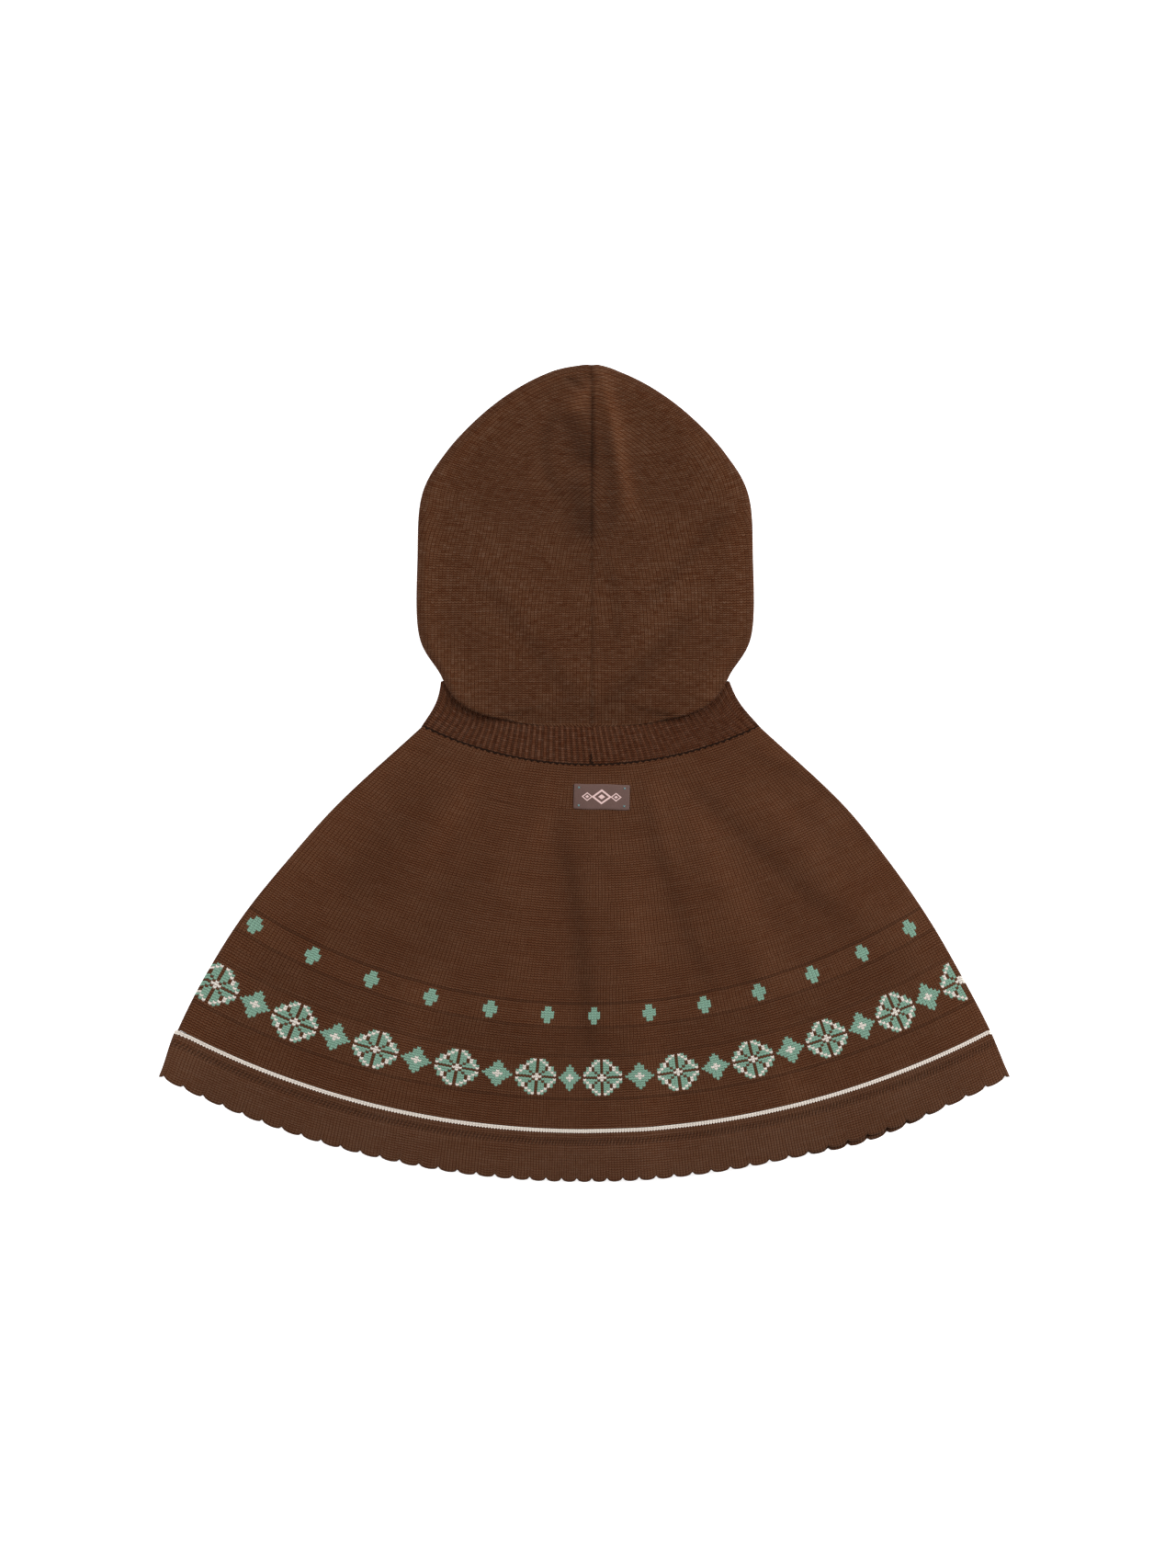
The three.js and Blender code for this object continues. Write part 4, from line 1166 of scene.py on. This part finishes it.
def body_finish(green_yarn, white_yarn):
    finish = Finish("body_knit", *KNIT_SHINE)
    along, courses = finish.stitches()
    wales = tier_wales(along, courses)
    height, wale, course = stitch_relief(wales, courses)
    cross_at = round(CROSS_ROW["way"] * BODY_LENGTH / COURSE)
    star_at = round(STAR_BAND["way"] * BODY_LENGTH / COURSE)
    # Painted light beside the crosses and painted shade between them and the stars
    strip = soft_step(CROSS_STRIP["end"], CROSS_STRIP["start"], abs(courses - cross_at))
    low = soft_step(cross_at + LOW_STRIP["cross_start"], cross_at + LOW_STRIP["cross_end"], courses)
    low = low * soft_step(star_at - LOW_STRIP["star_start"], star_at - LOW_STRIP["star_end"], courses)
    band_painted_shading = 1 + strip * CROSS_STRIP["lighter"] - low * LOW_STRIP["darker"]
    yarn = yarn_colour(finish, height, wale, course, BODY_YARN, band_painted_shading)

    pitch = CROSS_ROW["wales"]
    cross_x = abs(((wale - math.floor(CROSS_ROW["first"])) / pitch + 0.5).part() * pitch - pitch / 2 + 0.5)
    cross_y = abs(course - cross_at)
    tall = (cross_x < CROSS_ROW["arm"]) * (cross_y < CROSS_ROW["tall"])
    wide = (cross_x < CROSS_ROW["wide"]) * (cross_y < CROSS_ROW["arm"])
    cross = tall.larger(wide)

    repeat = STAR_BAND["wales"]
    star_x = abs((wale / repeat + 0.5).part() * repeat - repeat / 2)
    star_y = (abs(course - star_at) * STAR_BAND["squash"] + 0.5).floor()
    longer = star_x.larger(star_y)
    shorter = star_x.smaller(star_y)
    reach = longer - shorter
    sum_xy = star_x + star_y
    petal = (shorter > 0.5) * (shorter < STAR_BAND["petal"]) * (reach > 0.5)
    petal = petal * (longer < STAR_BAND["reach"]) * (sum_xy < STAR_BAND["corner"])
    tips = (abs(sum_xy - STAR_BAND["tips"]) < 0.5) * petal
    gem_sum = repeat / 2 - star_x + star_y
    gem = gem_sum < STAR_BAND["gem"]
    green = petal.larger(gem).larger(cross)
    white = tips.larger(sum_xy < STAR_BAND["heart"]).larger(gem_sum < STAR_BAND["heart"])

    shade = 0.72 + height * 0.3
    grey = finish.node("ShaderNodeCombineColor", {}, {0: shade, 1: shade, 2: shade})
    dyed = finish.blend(white, green_yarn, white_yarn)
    colour = finish.blend(green.larger(white), yarn, finish.times(dyed, grey))

    # Painted shade in the courses that lie a little lower, which also sink the relief
    middles = {"crosses": cross_at, "stars": star_at}
    lowered_courses_and_shade = 0.0
    for band, off, dark in BAND_EDGES:
        lowered_courses_and_shade = (abs(course - (middles[band] + off)) < 0.5) * dark + lowered_courses_and_shade
    colour = finish.blend(lowered_courses_and_shade, colour, PAINTED_SHADE_COLOUR)
    fuzz = finish.noise(900.0, 1.0)
    return finish.close(colour, height + fuzz * 0.25 - lowered_courses_and_shade, 0.0006, 0.9)


def hem_finish(white):
    finish = Finish("hem_knit", *KNIT_SHINE)
    along, courses = finish.stitches()
    wales = along * HEM_WALES * 0.5
    height, wale, course = stitch_relief(wales, courses)
    yarn = yarn_colour(finish, height, wale, course, HEM_YARN)
    off = abs(wales.part() - 0.5)
    stripe = (courses + off * STRIPE["zigzag"]) < STRIPE["courses"]
    cream = finish.blend(height ** 0.5, STRIPE_PAINTED_SHADE, white)
    groove = soft_step(1.9, 0.9, abs(courses - HEM_GROOVE["down"] / COURSE))
    # Painted shade in the slots of the groove that holds the hem
    slots = groove * soft_step(0.2, 0.36, abs((wales * 0.8 + courses * 0.3).part() - 0.5))
    colour = finish.blend(slots * 0.45, yarn, PAINTED_SHADE_COLOUR)
    colour = finish.blend(stripe, colour, cream)
    fuzz = finish.noise(800.0, 2.0)
    wale_line = 1 - off * 2
    return finish.close(colour, height * 0.5 + wale_line * 0.6 + fuzz * 0.4 - slots * 0.6, 0.0006, 0.85)


def rib_finish():
    finish = Finish("rib_knit", *KNIT_SHINE)
    along, courses = finish.stitches()
    rib = (along + 1) * (RIBS * 0.5)
    height, wale, course = stitch_relief(rib * 2 + 0.5, courses)
    yarn = yarn_colour(finish, height, wale, course, RIB_YARN, mottle=RIB_MOTTLE)
    # Painted shade in the valleys between the ribs
    valley = abs(rib.part() - 0.5)
    colour = finish.blend(soft_step(0.15, 0.45, valley) * 0.45, yarn, PAINTED_SHADE_COLOUR)
    fuzz = finish.noise(900.0, 1.0)
    return finish.close(colour, height + fuzz * 0.25, 0.0006, 0.8)


def hood_finish():
    finish = Finish("hood_knit", *KNIT_SHINE)
    wales, courses = finish.stitches()
    height, wale, course = stitch_relief(wales, courses)
    yarn = yarn_colour(finish, height, wale, course, HOOD_YARN, mottle=HOOD_MOTTLE)
    fuzz = finish.noise(900.0, 1.0)
    return finish.close(yarn, height + fuzz * 0.25, 0.0006, 0.9)


def label_finish(ground):
    finish = Finish("label_weave", *LABEL_SHINE)
    u, v = finish.stitches()
    weave = ((u * 3.6).part() - 0.5) * ((v * 3.6).part() - 0.5)
    cloud = finish.noise(60.0, 2.0)
    base = finish.blend(cloud, LABEL_DARK, ground)
    ornament = 0.0
    for each in LOZENGES:
        lozenge = abs(u - each["middle"]) / each["wide"] + abs(v) / each["tall"]
        rim = abs(lozenge - 0.86) < 0.14
        heart = lozenge < 0.34
        ornament = rim.larger(heart) + ornament
    colour = finish.blend(ornament.smaller(1.0), base, LABEL_PINK)
    return finish.close(colour, weave + ornament * 0.2, 0.00015, 0.6)


def thread_finish(name, colour):
    finish = Finish(name, *THREAD_SHINE)
    cloud = finish.noise(700.0, 2.0)
    return finish.close(finish.blend(cloud, dimmed(colour, 0.6), colour), cloud, 0.0002, 0.6)


def paper_finish():
    finish = Finish("floor_paper", *PAPER_SHINE)
    finish.shader.inputs["Emission Color"].default_value = PAPER
    finish.shader.inputs["Emission Strength"].default_value = PAPER_GLOW
    cloud = finish.noise(3.0, 2.0)
    return finish.close(finish.blend(cloud, dimmed(PAPER, 0.985), PAPER))


# Add-on: settings, operators and panel


class CapeSettings(bpy.types.PropertyGroup):
    """What a user would change."""

    green: bpy.props.FloatVectorProperty(
        name="Sea green",
        description="Yarn of the crosses and stars",
        default=srgb(114, 146, 128),
        size=4,
        subtype="COLOR",
    )
    white: bpy.props.FloatVectorProperty(
        name="Off-white",
        description="Yarn of the stripe and of the stars' middles",
        default=srgb(200, 192, 182),
        size=4,
        subtype="COLOR",
    )
    label: bpy.props.FloatVectorProperty(
        name="Label",
        description="Woven ground of the label",
        default=srgb(90, 70, 65),
        size=4,
        subtype="COLOR",
    )
    key_power: bpy.props.FloatProperty(
        name="Key light",
        description="Power of the large soft light from the upper right",
        default=43.0,
        unit="POWER",
    )
    camera_distance: bpy.props.FloatProperty(
        name="Camera distance",
        description="From the camera down to the cape",
        default=2.85,
        unit="LENGTH",
    )


class CAPE_OT_stage(bpy.types.Operator):
    """Make the pale floor, the soft lights and the camera"""

    bl_idname = "cape.stage"
    bl_label = "Make the stage"

    def execute(self, context):
        settings = context.scene.cape
        bpy.ops.object.select_all(action="DESELECT")
        bpy.ops.mesh.primitive_plane_add(size=FLOOR_SIZE, location=(0, 0, 0))
        floor = context.active_object
        floor.name = "floor"
        floor.location.z = -FLOOR_GAP * MM
        floor.data.materials.append(paper_finish())

        world = bpy.data.worlds.new("studio")
        context.scene.world = world
        world.use_nodes = True
        background = world.node_tree.nodes["Background"]
        background.inputs["Color"].default_value = (1, 1, 1, 1)
        background.inputs["Strength"].default_value = SKY
        for each in LIGHTS:
            lamp = bpy.data.lights.new(each["name"], "AREA")
            lamp.shape = "SQUARE"
            lamp.size = each["size"]
            lamp.energy = settings.key_power * each["share"]
            light = bpy.data.objects.new(each["name"], lamp)
            context.scene.collection.objects.link(light)
            light.location = (each["x"], each["y"], each["z"])
            light.rotation_euler = (-light.location).to_track_quat("-Z", "Y").to_euler()

        pixel = PHOTO["pixel"] * MM
        lens = bpy.data.cameras.new("camera")
        lens.sensor_fit = "VERTICAL"
        lens.sensor_height = SENSOR
        lens.lens = SENSOR * settings.camera_distance / (PHOTO["height"] * pixel)
        camera = bpy.data.objects.new("camera", lens)
        context.scene.collection.objects.link(camera)
        camera.location = (PHOTO["x"] * pixel, PHOTO["y"] * pixel, settings.camera_distance)
        context.scene.camera = camera
        context.scene.view_settings.view_transform = "Standard"
        return {"FINISHED"}


class CAPE_OT_body(bpy.types.Operator):
    """Knit the body over both of its panels"""

    bl_idname = "cape.body"
    bl_label = "Knit the body"

    def execute(self, context):
        settings = context.scene.cape
        body = make_body(body_finish(tuple(settings.green), tuple(settings.white)))
        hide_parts("cape_back", "cape_front")
        return {"FINISHED"}


class CAPE_OT_hem(bpy.types.Operator):
    """Knit the turned hem with its scalloped edge"""

    bl_idname = "cape.hem"
    bl_label = "Knit the hem"

    def execute(self, context):
        hem = make_hem(hem_finish(tuple(context.scene.cape.white)))
        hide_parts("hem_band_back", "hem_band_front")
        return {"FINISHED"}


class CAPE_OT_neckband(bpy.types.Operator):
    """Knit the ribbed neckband and link it to the body"""

    bl_idname = "cape.neckband"
    bl_label = "Knit the neckband"

    def execute(self, context):
        band = make_neckband(rib_finish())
        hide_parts("neck_rib_back", "neck_rib_front")
        seam = make_neck_seam(thread_finish("seam_yarn", SEAM_THREAD_AND_SHADE))
        return {"FINISHED"}


class CAPE_OT_hood(bpy.types.Operator):
    """Knit both halves of the hood"""

    bl_idname = "cape.hood"
    bl_label = "Knit the hood"

    def execute(self, context):
        finish = hood_finish()
        seam = make_hood_seam(thread_finish("hood_seam_yarn", HOOD_THREAD))
        for side, node, area, sewn in ((-1, "hood_left", 0.0402, [seam]), (1, "hood_right", 0.0374, [])):
            half = make_hood_half(side, finish)
            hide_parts(node)
        return {"FINISHED"}


class CAPE_OT_label(bpy.types.Operator):
    """Sew the woven label on with four tacks"""

    bl_idname = "cape.label"
    bl_label = "Sew the label on"

    def execute(self, context):
        label = make_label(label_finish(tuple(context.scene.cape.label)))
        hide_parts("label")
        tacks = make_tacks(thread_finish("tack_thread", TACK_THREAD))
        return {"FINISHED"}


class CAPE_PT_panel(bpy.types.Panel):
    """Lists what can be made"""

    bl_label = "Hooded Knit Cape"
    bl_idname = "CAPE_PT_panel"
    bl_space_type = "VIEW_3D"
    bl_region_type = "UI"
    bl_category = "Cape"

    def draw(self, context):
        settings = context.scene.cape
        for name in ("green", "white", "label", "key_power", "camera_distance"):
            self.layout.prop(settings, name)
        for maker in MAKERS:
            self.layout.operator(maker.bl_idname)


MAKERS = (CAPE_OT_stage, CAPE_OT_body, CAPE_OT_hem, CAPE_OT_neckband, CAPE_OT_hood, CAPE_OT_label)
CLASSES = (CapeSettings, *MAKERS, CAPE_PT_panel)


def register():
    for each in CLASSES:
        bpy.utils.register_class(each)
    bpy.types.Scene.cape = bpy.props.PointerProperty(type=CapeSettings)


def unregister():
    del bpy.types.Scene.cape
    for each in reversed(CLASSES):
        bpy.utils.unregister_class(each)


def main():
    register()
    for make in (bpy.ops.cape.stage, bpy.ops.cape.body, bpy.ops.cape.hem, bpy.ops.cape.neckband,
                 bpy.ops.cape.hood, bpy.ops.cape.label):
        make()


if __name__ == "__main__":
    main()
